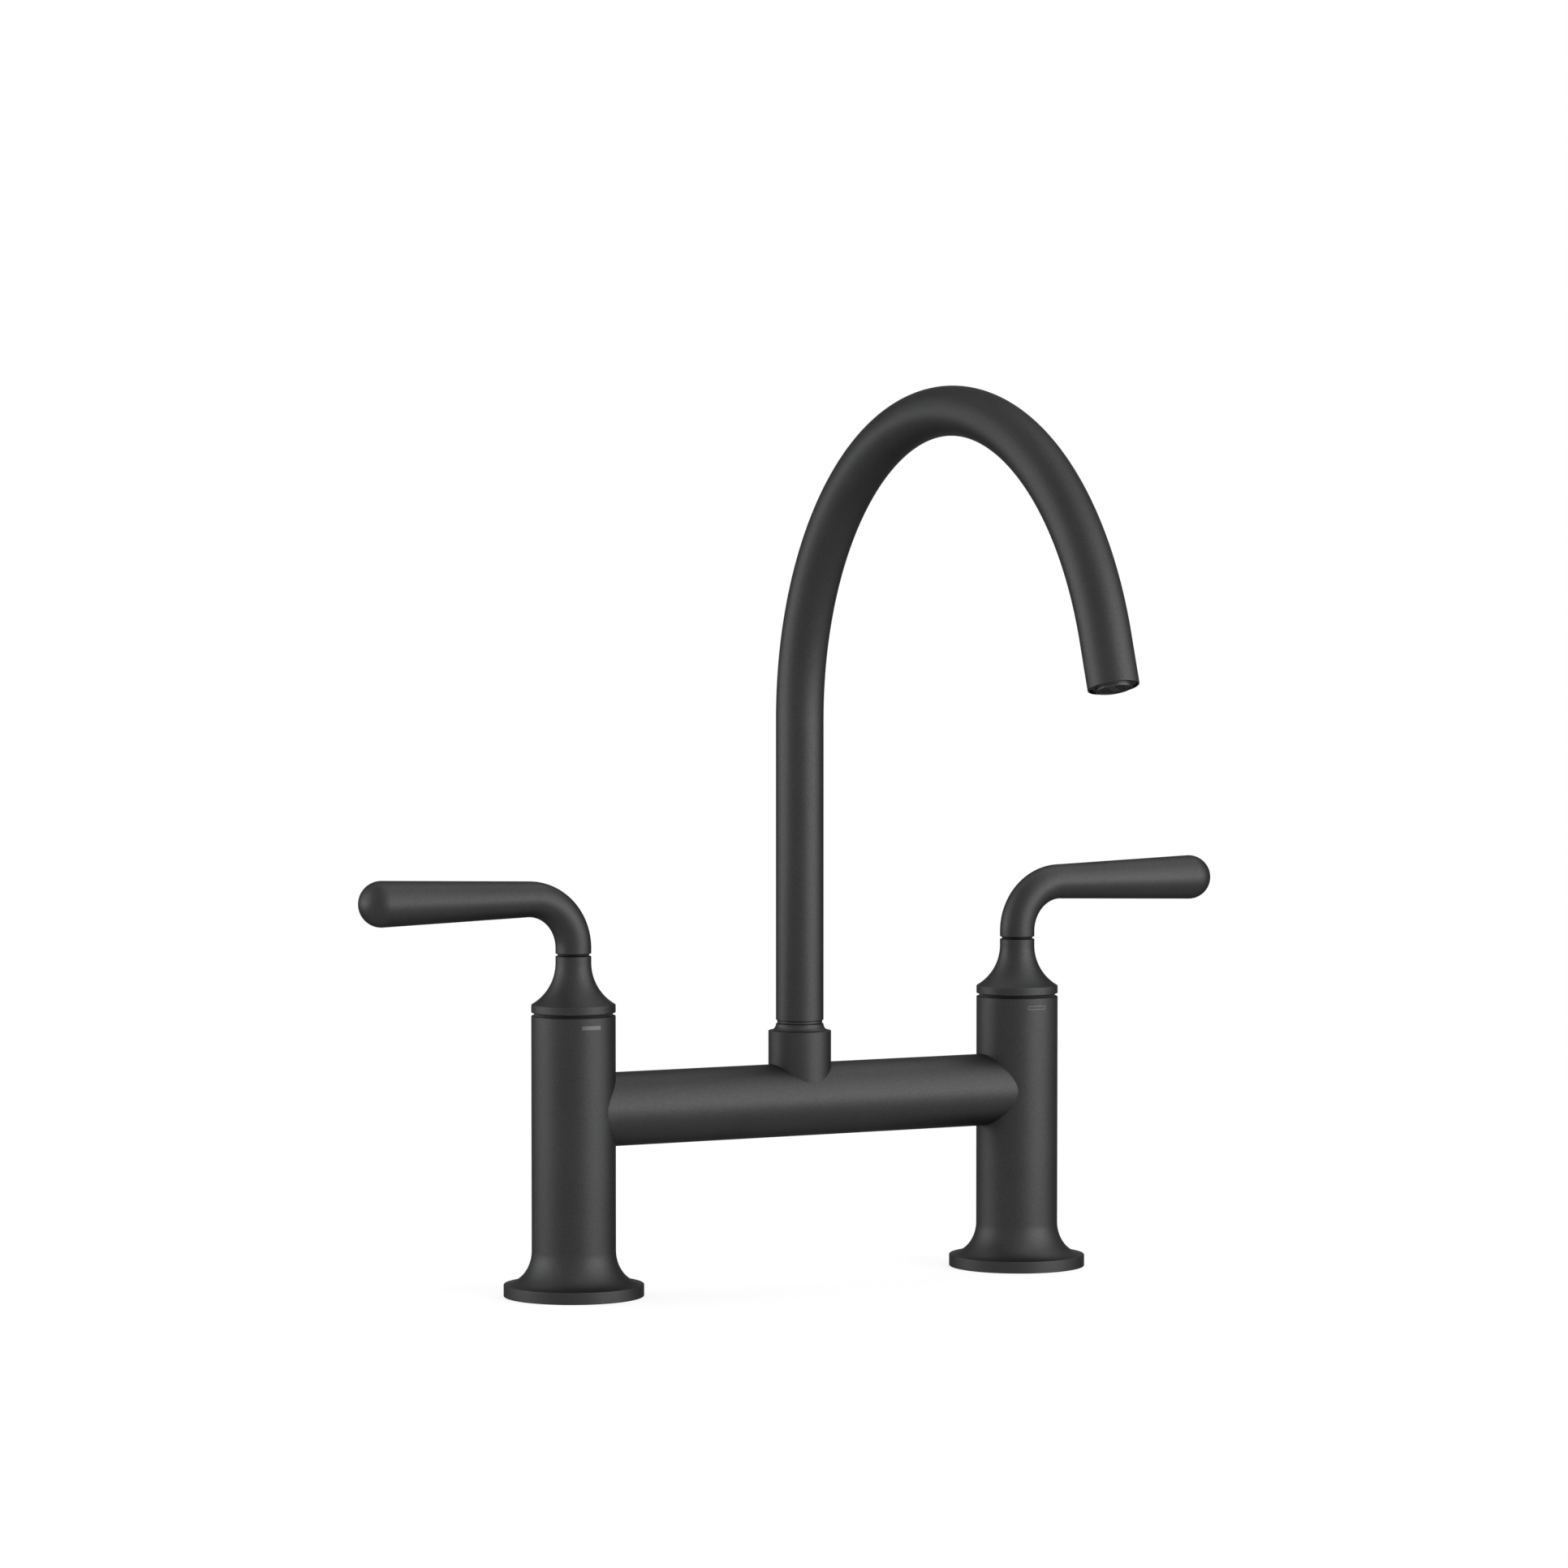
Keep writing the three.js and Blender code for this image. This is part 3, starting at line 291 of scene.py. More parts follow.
class FaucetStage(bpy.types.PropertyGroup):
    """The camera and the light."""

    camera_place: FloatVectorProperty(
        name="Camera place", description="Where the camera stands", default=(-1.08567, -2.03757, 0.304),
        unit="LENGTH", subtype="TRANSLATION",
    )
    camera_turn: FloatProperty(
        name="Camera turn", description="Clockwise from +Y", default=math.radians(27.8945), subtype="ANGLE"
    )
    camera_dip: FloatProperty(
        name="Camera dip", description="Below level", default=math.radians(2.6256), subtype="ANGLE"
    )
    lens: FloatProperty(name="Lens", description="Focal length in millimetres", default=133.5235)
    ambient: share("Ambient", 0.35, "Brightness of the surroundings on matt surfaces")


# ---------------------------------------------------------------- Modelling
def arc(centre, radii, start, end, steps=COVE_STEPS):
    """Points on an ellipse, by angle in degrees from the direction of growing radius."""
    turns = [math.radians(start + (end - start) * step / steps) for step in range(steps + 1)]
    return [(centre[0] + radii[0] * math.cos(a), centre[1] + radii[1] * math.sin(a)) for a in turns]


def cleaned(bm):
    bmesh.ops.remove_doubles(bm, verts=bm.verts, dist=WELD)
    bmesh.ops.recalc_face_normals(bm, faces=bm.faces)
    return bm


def turned(outline, sides=SIDES):
    """An outline turned about Z, which ends on the axis or closes on itself."""
    bm = bmesh.new()
    points = [bm.verts.new((radius, 0, height)) for radius, height in outline]
    pairs = list(zip(points, points[1:]))
    if outline[0][0] > 0:
        pairs.append((points[-1], points[0]))
    edges = [bm.edges.new(pair) for pair in pairs]
    bmesh.ops.spin(
        bm, geom=points + edges, cent=(0, 0, 0), axis=(0, 0, 1), angle=2 * math.pi, steps=sides,
        use_merge=True,
    )
    return cleaned(bm)


def bar(radius, bottom, top, sides=TINY_SIDES):
    """A round bar about Z."""
    bm = bmesh.new()
    middle = Matrix.Translation((0, 0, (bottom + top) / 2))
    bmesh.ops.create_cone(
        bm, cap_ends=True, segments=sides, radius1=radius, radius2=radius, depth=top - bottom, matrix=middle
    )
    return bm


def placed(bm, *moves):
    """Moves or turns a shape, the first move first."""
    for move in moves:
        bmesh.ops.transform(bm, matrix=move, verts=bm.verts)
    return bm


def on_pillar(bm, side):
    """Moves a shape from the middle to a pillar's axis."""
    return placed(bm, Matrix.Translation((axis_of(side), 0, 0)))


def folded(edge):
    return edge.is_manifold and edge.calc_face_angle() > SHARP


def rounded(bm, radius, chosen=folded):
    """Rounds the sharp edges, or the chosen ones."""
    bmesh.ops.bevel(
        bm, geom=[edge for edge in bm.edges if chosen(edge)], offset=radius, segments=EDGE_STEPS,
        profile=0.5, affect="EDGES", material=-1, clamp_overlap=True,
    )
    return bm


def loose(bm):
    """A helper object that holds a shape."""
    mesh = bpy.data.meshes.new("helper")
    bm.to_mesh(mesh)
    bm.free()
    helper = bpy.data.objects.new("helper", mesh)
    bpy.context.scene.collection.objects.link(helper)
    return helper


def hollowed(bm, *tools):
    """Takes the tools' shapes out of a shape."""
    body = loose(bm)
    helpers = [loose(tool) for tool in tools]
    for helper in helpers:
        cut = body.modifiers.new("cut", "BOOLEAN")
        cut.operation = "DIFFERENCE"
        cut.solver = "EXACT"
        cut.object = helper
    bpy.context.view_layer.update()
    result = bmesh.new()
    result.from_object(body, bpy.context.evaluated_depsgraph_get())
    for helper in (body, *helpers):
        mesh = helper.data
        bpy.data.objects.remove(helper)
        bpy.data.meshes.remove(mesh)
    return cleaned(result)


class Tube:
    """A round shape that grows ring by ring, along Z at first."""

    def __init__(self, radius, height, sides=SMALL_SIDES, closed=False):
        self.bm = bmesh.new()
        start = Matrix.Translation((0, 0, height))
        bmesh.ops.create_circle(self.bm, cap_ends=closed, radius=radius, segments=sides, matrix=start)
        self.ring = list(self.bm.verts) + list(self.bm.edges)
        self.radius = radius
        self.centre = Vector((0, 0, height))

    def verts(self):
        return [part for part in self.ring if isinstance(part, bmesh.types.BMVert)]

    def grow(self, step=(0, 0, 0), radius=None):
        """A straight or conical stretch, or a flat step to another radius."""
        edges = [part for part in self.ring if isinstance(part, bmesh.types.BMEdge)]
        self.ring = bmesh.ops.extrude_edge_only(self.bm, edges=edges)["geom"]
        self.ring = [part for part in self.ring if not isinstance(part, bmesh.types.BMFace)]
        bmesh.ops.translate(self.bm, verts=self.verts(), vec=step)
        self.centre += Vector(step)
        if radius is not None:
            about = Matrix.Translation(-self.centre)
            factor = radius / self.radius
            bmesh.ops.scale(self.bm, verts=self.verts(), vec=(factor,) * 3, space=about)
            self.radius = radius
        return self

    def bend(self, centre, axis, angle, steps):
        """A bend about an axis through a point."""
        made = bmesh.ops.spin(self.bm, geom=self.ring, cent=centre, axis=axis, angle=angle, steps=steps)
        self.ring = made["geom_last"]
        turn = Matrix.Rotation(angle, 4, Vector(axis))
        self.centre = Vector(centre) + turn @ (self.centre - Vector(centre))
        return self

    def finished(self):
        return cleaned(self.bm)


# ---------------------------------------------------------------- Materials
class Socket:
    """A shader node's output, on which sums are written as Python expressions."""

    def __init__(self, nodes, output):
        self.nodes = nodes
        self.output = output

    def maths(self, operation, *values):
        inputs = dict(enumerate(values))
        return self.nodes.node("ShaderNodeMath", {"operation": operation}, inputs)

    def __add__(self, other):
        return self.maths("ADD", self, other)

    __radd__ = __add__

    def __sub__(self, other):
        return self.maths("SUBTRACT", self, other)

    def __rsub__(self, other):
        return self.maths("SUBTRACT", other, self)

    def __mul__(self, other):
        return self.maths("MULTIPLY", self, other)

    def __lt__(self, other):
        return self.maths("LESS_THAN", self, other)

    def size(self):
        return self.maths("ABSOLUTE", self)

    def swing(self, amount):
        """How far the value is from a half, times the amount."""
        return (self - 0.5) * amount

    def ramp(self, start, end, low=0.0, high=1.0):
        """Goes smoothly from low to high as the value goes from start to end."""
        settings = {"interpolation_type": "SMOOTHSTEP"}
        inputs = {"Value": self, "From Min": start, "From Max": end, "To Min": low, "To Max": high}
        return self.nodes.node("ShaderNodeMapRange", settings, inputs)


class Nodes:
    """The nodes of a material or of the surroundings, under construction."""

    def __init__(self, owner):
        self.owner = owner
        owner.use_nodes = True
        self.tree = owner.node_tree
        self.tree.nodes.clear()

    def node(self, kind, settings=None, inputs=None, output=0):
        """Adds a node: its settings first, then the values or links of its inputs."""
        node = self.tree.nodes.new(kind)
        for name, value in (settings or {}).items():
            setattr(node, name, value)
        for name, value in (inputs or {}).items():
            if isinstance(value, Socket):
                self.tree.links.new(value.output, node.inputs[name])
            else:
                node.inputs[name].default_value = value
        return Socket(self, node.outputs[output]) if node.outputs else None

    def place(self):
        """Object coordinates, in metres."""
        return self.node("ShaderNodeTexCoord", output="Object")

    def stretched(self, scale):
        return self.node("ShaderNodeMapping", inputs={"Vector": self.place(), "Scale": scale})

    def split(self, vector):
        node = self.node("ShaderNodeSeparateXYZ", inputs={"Vector": vector}).output.node
        return [Socket(self, output) for output in node.outputs]

    def noise(self, vector, scale, detail=2.0, roughness=0.5):
        inputs = {"Vector": vector, "Scale": scale, "Detail": detail, "Roughness": roughness}
        return self.node("ShaderNodeTexNoise", {"noise_dimensions": "3D"}, inputs)

    def blend(self, factor, first, second):
        """Mixes two colours, given as three numbers or as links."""
        inputs = {0: factor, 6: opaque(first), 7: opaque(second)}
        return self.node("ShaderNodeMix", {"data_type": "RGBA"}, inputs, output=2)

    def mottled(self, value, span, base_colour, tints):
        """A colour that goes from its darker to its lighter tint as the value goes over its span."""
        dark, light = (tinted(base_colour, tint) for tint in tints)
        return self.blend(value.ramp(*span), dark, light)

    def bump(self, height, distance, strength=1.0):
        inputs = {"Height": height, "Distance": distance, "Strength": strength}
        return self.node("ShaderNodeBump", inputs=inputs)

    def surface(self, **inputs):
        """Ends the material in one shader, whose sockets are named with underscores."""
        named = {name.replace("_", " "): value for name, value in inputs.items()}
        shader = self.node("ShaderNodeBsdfPrincipled", inputs=named)
        self.node("ShaderNodeOutputMaterial", inputs={"Surface": shader})
        return self.owner


def new_material(name):
    return Nodes(bpy.data.materials.new(name))


def opaque(value):
    return value if isinstance(value, Socket) else (*value, 1.0)


def tinted(value, factor):
    return tuple(channel * factor for channel in value)


def uneven(roughness, kind, cloud, fine):
    """A roughness that the clouds and a finer noise swing up and down."""
    by_cloud, by_fine = ROUGHNESS_SWINGS[kind]
    return roughness + cloud.swing(by_cloud) + fine.swing(by_fine)


def box_mask(across, up, centre, half_width, half_height):
    """1 inside an upright rectangle, seen along Y."""
    soft = MARK_SOFTNESS
    inside_x = (across - centre[0]).size().ramp(half_width + soft, half_width - soft)
    inside_z = (up - centre[1]).size().ramp(half_height + soft, half_height - soft)
    return inside_x * inside_z


def black_material(name, base_colour, roughness, mark=None):
    """A black surface with a fine grain, dark at its outlines, and with a pillar's mark if there is one."""
    finish = bpy.context.scene.faucet_finish
    material = new_material(name)
    place = material.place()
    grain = material.noise(place, **GRAIN)
    pebble = material.noise(place, **PEBBLE)
    cloud = material.noise(place, **CLOUD)
    tone = grain.swing(GRAIN_TONE) + cloud.swing(CLOUD_TONE) + 0.5
    base = material.mottled(tone, COAT_SPAN, base_colour, COAT_TINTS)
    if mark:
        sizes = bpy.context.scene.faucet_sizes
        across, depth, up = material.split(place)
        centre = (mark["x"], PILLAR_TOP - sizes.mark_drop)
        half = (sizes.mark_width / 2, sizes.mark_height / 2)
        shape = box_mask(across, up, centre, *half)
        if mark["outlined"]:
            line = sizes.mark_line
            shape = shape * (1 - box_mask(across, up, centre, half[0] - line, half[1] - line))
        shape = shape * (depth < 0.0)
        base = material.blend(shape, base, finish.mark)
    height = grain * GRAIN_SHARE + pebble * PEBBLE_SHARE
    return material.surface(
        Base_Color=base,
        Metallic=1.0,
        Roughness=uneven(roughness, "coat", cloud, pebble),
        Normal=material.bump(height, COAT_RELIEF),
        Specular_Tint=opaque(finish.coat_edge),
    )


def metal_material(name, base_colour, roughness):
    """A turned metal, with fine rings from the tool."""
    material = new_material(name)
    rings = material.noise(material.stretched(METAL_RINGS), 1.0, detail=2.0)
    cloud = material.noise(material.place(), METAL_CLOUD, detail=3.0)
    return material.surface(
        Base_Color=material.mottled(cloud, CLOUD_SPAN, base_colour, METAL_TINTS),
        Metallic=1.0,
        Roughness=uneven(roughness, "metal", cloud, rings),
        Normal=material.bump(rings, METAL_RELIEF, strength=0.5),
    )


def moulded_material(name, base_colour, roughness, grain_scale, relief, gloss):
    """A moulded or fired material, with a fine grain and faint clouds."""
    material = new_material(name)
    grain = material.noise(material.place(), grain_scale, detail=3.0)
    cloud = material.noise(material.place(), MOULDED_CLOUD, detail=3.0)
    return material.surface(
        Base_Color=material.mottled(cloud, CLOUD_SPAN, base_colour, MOULDED_TINTS),
        Roughness=uneven(roughness, "moulded", cloud, grain),
        Normal=material.bump(grain, relief),
        Specular_IOR_Level=gloss,
    )


def made_materials():
    """Makes every material once: one for each slot, and the moulding and both pillars apart."""
    finish = bpy.context.scene.faucet_finish
    made = {
        "black_coat": black_material("black_coat", finish.coat, finish.coat_roughness),
        "moulding": black_material("moulding", finish.moulding, MOULDING_ROUGHNESS),
    }
    for name, roughness in METALS.items():
        made[name] = metal_material(name, getattr(finish, name), roughness)
    for name, qualities in MOULDED.items():
        made[name] = moulded_material(name, getattr(finish, name), *qualities)
    for side in SIDE_NAMES:
        mark = {"x": axis_of(side), "outlined": side == "right"}
        made[f"{side}_pillar"] = black_material(f"{side}_pillar", finish.coat, finish.coat_roughness, mark)
    return made


MATERIALS = {}


def material_named(name):
    if not MATERIALS:
        MATERIALS.update(made_materials())
    return MATERIALS[name]


# ---------------------------------------------------------------- Pieces
def piece(name, bm, body, slot, nodes, material=None):
    """Puts a finished shape in the scene, rides it on its body and hides the nodes it stands for."""
    for polygon in bm.faces:
        polygon.smooth = True
    for edge in bm.edges:
        edge.smooth = not folded(edge)
    mesh = bpy.data.meshes.new(name)
    bm.to_mesh(mesh)
    bm.free()
    mesh.materials.append(material_named(material or slot))
    obj = bpy.data.objects.new(name, mesh)
    bpy.context.scene.collection.objects.link(obj)
    obj.modifiers.new("even shading", "WEIGHTED_NORMAL").keep_sharp = True
    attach(obj, body)
    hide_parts(*nodes)


def pillar_shape(side):
    sizes = bpy.context.scene.faucet_sizes
    bore = PILLAR_RADIUS - sizes.pillar_wall
    groove = FOOT_RADIUS - sizes.groove_inset
    rebate = PILLAR_RADIUS - sizes.rebate_wall
    seat = PILLAR_TOP - sizes.rebate_depth
    port = PORT_RADIUS + OVERRUN
    cove_radii = (FOOT_RADIUS - PILLAR_RADIUS, sizes.foot_cove)
    cove = arc((FOOT_RADIUS, sizes.foot_rim + sizes.foot_cove), cove_radii, 270, 180)
    outline = [
        (bore, 0),
        (groove - sizes.groove_width, 0),
        (groove - sizes.groove_width, sizes.groove_depth),
        (groove, sizes.groove_depth),
        (groove, 0),
        (FOOT_RADIUS, 0),
        *cove,
        (PILLAR_RADIUS, BRIDGE_AXIS - port),
        (PILLAR_RADIUS, BRIDGE_AXIS + port),
        (PILLAR_RADIUS, PILLAR_TOP),
        (rebate, PILLAR_TOP),
        (rebate, seat),
        (bore, seat),
    ]
    shell = rounded(turned(outline), sizes.edge_rounding)
    towards = math.radians(90 if side == "left" else -90)
    hole = placed(
        bar(PORT_RADIUS, 0, PILLAR_RADIUS + OVERRUN),
        Matrix.Rotation(towards, 4, "Y"),
        Matrix.Translation((0, 0, BRIDGE_AXIS)),
    )
    return on_pillar(hollowed(shell, hole), side)


def cap_shape(side):
    sizes = bpy.context.scene.faucet_sizes
    node = f"{side}_handle_cap"
    spindle_top = high(f"{side}_spindle").z
    bottom = low(node).z + sizes.cap_skirt
    rim_top = bottom + sizes.cap_rim
    top = high(node).z
    sweep = math.acos((sizes.cap_cove - PILLAR_RADIUS + sizes.neck_radius) / sizes.cap_cove)
    cove_top = rim_top + sizes.cap_cove * math.sin(sweep)
    cove_centre = (sizes.neck_radius + sizes.cap_cove, cove_top)
    cove = arc(cove_centre, (sizes.cap_cove,) * 2, 180 + math.degrees(sweep), 180)
    stud = radius_of(f"{side}_lever_stud") + CLEARANCE
    skirt = radius_of(f"{side}_glide_ring") - SKIRT_INSET
    screw_seat = spindle_top + SCREW_SEAT
    hub = stud + HUB_MARGIN
    pocket = bottom + POCKET_RISE
    outline = [
        (skirt, bottom),
        (PILLAR_RADIUS, bottom),
        *cove,
        (sizes.neck_radius, top),
        (stud, top),
        (stud, screw_seat),
        (SCREW_HOLE, screw_seat),
        (SCREW_HOLE, spindle_top + CLEARANCE),
        (SPLINE_BORE, spindle_top + CLEARANCE),
        (SPLINE_BORE, bottom - HUB_DROP),
        (hub, bottom - HUB_DROP),
        (hub, pocket),
        (skirt - sizes.cap_skirt_wall, pocket),
        (skirt - sizes.cap_skirt_wall, low(node).z),
        (skirt, low(node).z),
    ]
    return on_pillar(rounded(turned(outline), sizes.edge_rounding), side)


def lever_shape(side):
    sizes = bpy.context.scene.faucet_sizes
    node = f"{side}_lever"
    bottom = low(node).z
    axis = bottom + sizes.lever_foot + sizes.lever_bend
    end = high(node).z - axis
    tip = max(abs(low(node).x), abs(high(node).x)) - abs(axis_of(side))
    arm = tip - sizes.lever_bend - end
    stud = radius_of(f"{side}_lever_stud") + CLEARANCE
    tube = Tube(stud, bottom + sizes.lever_socket, closed=True)
    tube.grow((0, 0, -sizes.lever_socket)).grow(radius=sizes.neck_radius)
    tube.grow((0, 0, sizes.lever_foot))
    tube.bend((sizes.lever_bend, 0, bottom + sizes.lever_foot), (0, 1, 0), math.pi / 2, LEVER_STEPS)
    tube.grow((arm, 0, 0), end)
    for step in range(1, DOME_STEPS):
        turn = math.pi / 2 * step / DOME_STEPS
        last = math.pi / 2 * (step - 1) / DOME_STEPS
        tube.grow((end * (math.sin(turn) - math.sin(last)), 0, 0), end * math.cos(turn))
    tube.grow((end * (1 - math.sin(turn)), 0, 0), WELD / 10)
    lever = rounded(tube.finished(), sizes.edge_rounding)
    facing = math.pi if side == "left" else 0.0
    return on_pillar(placed(lever, Matrix.Rotation(facing, 4, "Z")), side)


def saddle(radius, offset):
    """How far a round bar's surface stands from the middle, at that offset from it."""
    return math.sqrt(radius ** 2 - offset ** 2)


def bridge_shape():
    sizes = bpy.context.scene.faucet_sizes
    half = axis_of("right")
    reach = COLLAR_RADIUS - HIDDEN_RING
    bore = BRIDGE_RADIUS - sizes.bridge_wall
    outline = [
        (bore, -half), (BRIDGE_RADIUS, -half), (BRIDGE_RADIUS, -reach), (BRIDGE_RADIUS, reach),
        (BRIDGE_RADIUS, half), (bore, half), (bore, reach), (bore, -reach),
    ]
    tube = placed(turned(outline), Matrix.Rotation(math.pi / 2, 4, "Y"))
    for vert in tube.verts:
        if abs(vert.co.x) > half - OVERRUN:
            end = half - saddle(PILLAR_RADIUS, vert.co.y) + SUNK
            vert.co.x = math.copysign(end, vert.co.x)
    placed(tube, Matrix.Translation((0, 0, BRIDGE_AXIS)))
    hole = bar(radius_of("spout_spigot") + SPIGOT_ROOM, BRIDGE_AXIS, COLLAR_TOP)
    return hollowed(tube, hole)


def collar_shape():
    sizes = bpy.context.scene.faucet_sizes
    bore = radius_of("spout_spigot") + CLEARANCE
    foot = COLLAR_TOP - sizes.collar_lip - sizes.collar_cove
    shoulder = COLLAR_RADIUS - sizes.collar_ledge
    outline = [
        (bore, BRIDGE_AXIS),
        (COLLAR_RADIUS, BRIDGE_AXIS),
        (COLLAR_RADIUS, foot),
        *arc((shoulder, foot + sizes.collar_cove), (sizes.collar_cove,) * 2, 270, 180, COVE_STEPS // 2),
        (shoulder - sizes.collar_cove, COLLAR_TOP),
        (bore, COLLAR_TOP),
    ]
    collar = rounded(turned(outline), FINE_EDGE)
    for vert in collar.verts:
        if vert.co.z < BRIDGE_AXIS + OVERRUN:
            vert.co.z = BRIDGE_AXIS + saddle(BRIDGE_RADIUS, vert.co.y) - SUNK
    hole = placed(
        bar(SET_SCREW_HOLE, 0, COLLAR_RADIUS + OVERRUN),
        Matrix.Rotation(-math.pi / 2, 4, "X"),
        Matrix.Translation((0, 0, middle_of("spout_grub_screw", "z"))),
    )
    return hollowed(collar, hole)


def bend_height():
    """Where the gooseneck's bend starts."""
    sizes = bpy.context.scene.faucet_sizes
    return high("spout_tube").z - sizes.spout_bend - SPOUT_RADIUS


def outlet_matrix():
    """The outlet's middle, where Z runs back up the spout."""
    sizes = bpy.context.scene.faucet_sizes
    turn = sizes.spout_turn
    reach = sizes.spout_bend * (1 - math.cos(turn)) + sizes.spout_tail * math.sin(turn)
    height = bend_height() + sizes.spout_bend * math.sin(turn) + sizes.spout_tail * math.cos(turn)
    return Matrix.Translation((0, -reach, height)) @ Matrix.Rotation(turn - math.pi, 4, "X")


def gooseneck_shape():
    sizes = bpy.context.scene.faucet_sizes
    bore = SPOUT_RADIUS - sizes.spout_wall
    seat = bpy.context.scene.aerator_sizes.seat
    counterbore = radius_of("aerator_housing") + CLEARANCE
    centre = (0, -sizes.spout_bend, bend_height())
    tail = outlet_matrix().to_3x3() @ Vector((0, 0, -1))
    tube = Tube(SPOUT_RADIUS, SPOUT_BOTTOM)
    tube.grow((0, 0, bend_height() - SPOUT_BOTTOM))
    tube.bend(centre, (1, 0, 0), sizes.spout_turn, SPOUT_STEPS)
    tube.grow(tail * sizes.spout_tail).grow(radius=counterbore)
    tube.grow(tail * -seat).grow(radius=bore)
    tube.grow(tail * (seat - sizes.spout_tail))
    tube.bend(centre, (1, 0, 0), -sizes.spout_turn, SPOUT_STEPS)
    tube.grow((0, 0, SPOUT_BOTTOM - bend_height())).grow(radius=SPOUT_RADIUS)
    outlet = outlet_matrix().inverted()

    def on_mouth(edge):
        middle = outlet @ ((edge.verts[0].co + edge.verts[1].co) / 2)
        return folded(edge) and abs(middle.z) < WELD and middle.xy.length > counterbore + WELD

    return rounded(rounded(tube.finished(), sizes.outlet_rounding, on_mouth), FINE_EDGE)


def aerator_shape():
    """The keyed ring in the outlet."""
    sizes = bpy.context.scene.aerator_sizes
    outer = radius_of("aerator_housing")
    lip = sizes.mouth + sizes.lip
    bore = outer - sizes.wall
    outline = [
        (sizes.mouth, -sizes.proud), (lip, -sizes.proud), (lip, sizes.shoulder), (outer, sizes.shoulder),
        (outer, sizes.top), (bore, sizes.top), (bore, sizes.shelf), (sizes.mouth, sizes.shelf),
    ]
    ring = rounded(turned(outline, SMALL_SIDES), sizes.lip_rounding)
    notches = bmesh.new()
    size = (sizes.notch_depth + OVERRUN, sizes.notch, sizes.notch_end)
    reach = outer - sizes.notch_depth + size[0] / 2
    for quarter in range(4):
        turn = Matrix.Rotation(math.radians(90 * quarter + 45), 4, "Z")
        place = Matrix.Translation((reach, 0, sizes.notch_end / 2))
        bmesh.ops.create_cube(notches, size=1.0, matrix=turn @ place @ Matrix.Diagonal((*size, 1)))
    return placed(hollowed(ring, notches), outlet_matrix())


def grid_shape():
    """The disc that fills the mouth, with square holes on both sides of a plain bar."""
    sizes = bpy.context.scene.aerator_sizes
    face = sizes.grid_recess - sizes.proud
    narrow = sizes.mouth - CLEARANCE
    wide = radius_of("aerator_housing") - sizes.wall - CLEARANCE
    shelf = sizes.shelf + CLEARANCE
    outline = [
        (0, face), (narrow, face), (narrow, shelf),
        (wide, shelf), (wide, sizes.disc_top), (0, sizes.disc_top),
    ]
    disc = turned(outline, SMALL_SIDES)
    half = sizes.hole / 2
    count = math.ceil(narrow / sizes.pitch)
    depth = sizes.disc_top - face + 2 * OVERRUN
    holes = bmesh.new()
    for column in range(count):
        for row in range(-count, count + 1):
            out = sizes.bar / 2 + sizes.hole + column * sizes.pitch
            corner = Vector((out, abs(row) * sizes.pitch + half))
            if corner.length > narrow - sizes.rim:
                continue
            for turn in (sizes.turn, sizes.turn + math.pi):
                place = Vector((corner.x - half, row * sizes.pitch, (face + sizes.disc_top) / 2))
                size = Matrix.Diagonal((sizes.hole, sizes.hole, depth, 1))
                way = Matrix.Rotation(turn, 4, "Z") @ Matrix.Translation(place) @ size
                bmesh.ops.create_cube(holes, size=1.0, matrix=way)
    return placed(hollowed(disc, holes), outlet_matrix())


def band_shape(node, inner, bottom, top):
    """A ring as wide as a node, on a narrower ring that closes the seam from bottom to top."""
    outer = radius_of(node)
    core = outer - BAND_STEP
    outline = [
        (inner, bottom), (core, bottom), (core, low(node).z), (outer, low(node).z),
        (outer, high(node).z), (core, high(node).z), (core, top), (inner, top),
    ]
    band = rounded(turned(outline, SMALL_SIDES), BAND_EDGE)
    return placed(band, Matrix.Translation((middle_of(node), 0, 0)))


def glide_shape(side):
    sizes = bpy.context.scene.faucet_sizes
    node = f"{side}_glide_ring"
    flange = radius_of(node)
    sleeve = radius_of(f"{side}_valve_body")
    bore = sleeve - GLIDE_WALL
    bottom = low(node).z
    top = low(f"{side}_handle_cap").z + sizes.cap_skirt - RUNNING_GAP
    step = PILLAR_TOP - GLIDE_FLANGE
    outline = [(bore, bottom), (sleeve, bottom), (sleeve, step), (flange, step), (flange, top), (bore, top)]
    return on_pillar(rounded(turned(outline, SMALL_SIDES), GLIDE_EDGE), side)


def grub_screw_shape():
    """The set screw that keeps the spigot in the collar, with its hexagonal socket."""
    node = "spout_grub_screw"
    end = high(node).y
    screw = rounded(bar(radius_of(node), low(node).y, end), SET_SCREW_EDGE)
    socket = bar(SOCKET_RADIUS, end - SOCKET_DEPTH, end + OVERRUN, sides=6)
    laid = (Matrix.Rotation(-math.pi / 2, 4, "X"), Matrix.Translation((0, 0, middle_of(node, "z"))))
    return placed(hollowed(screw, socket), *laid)


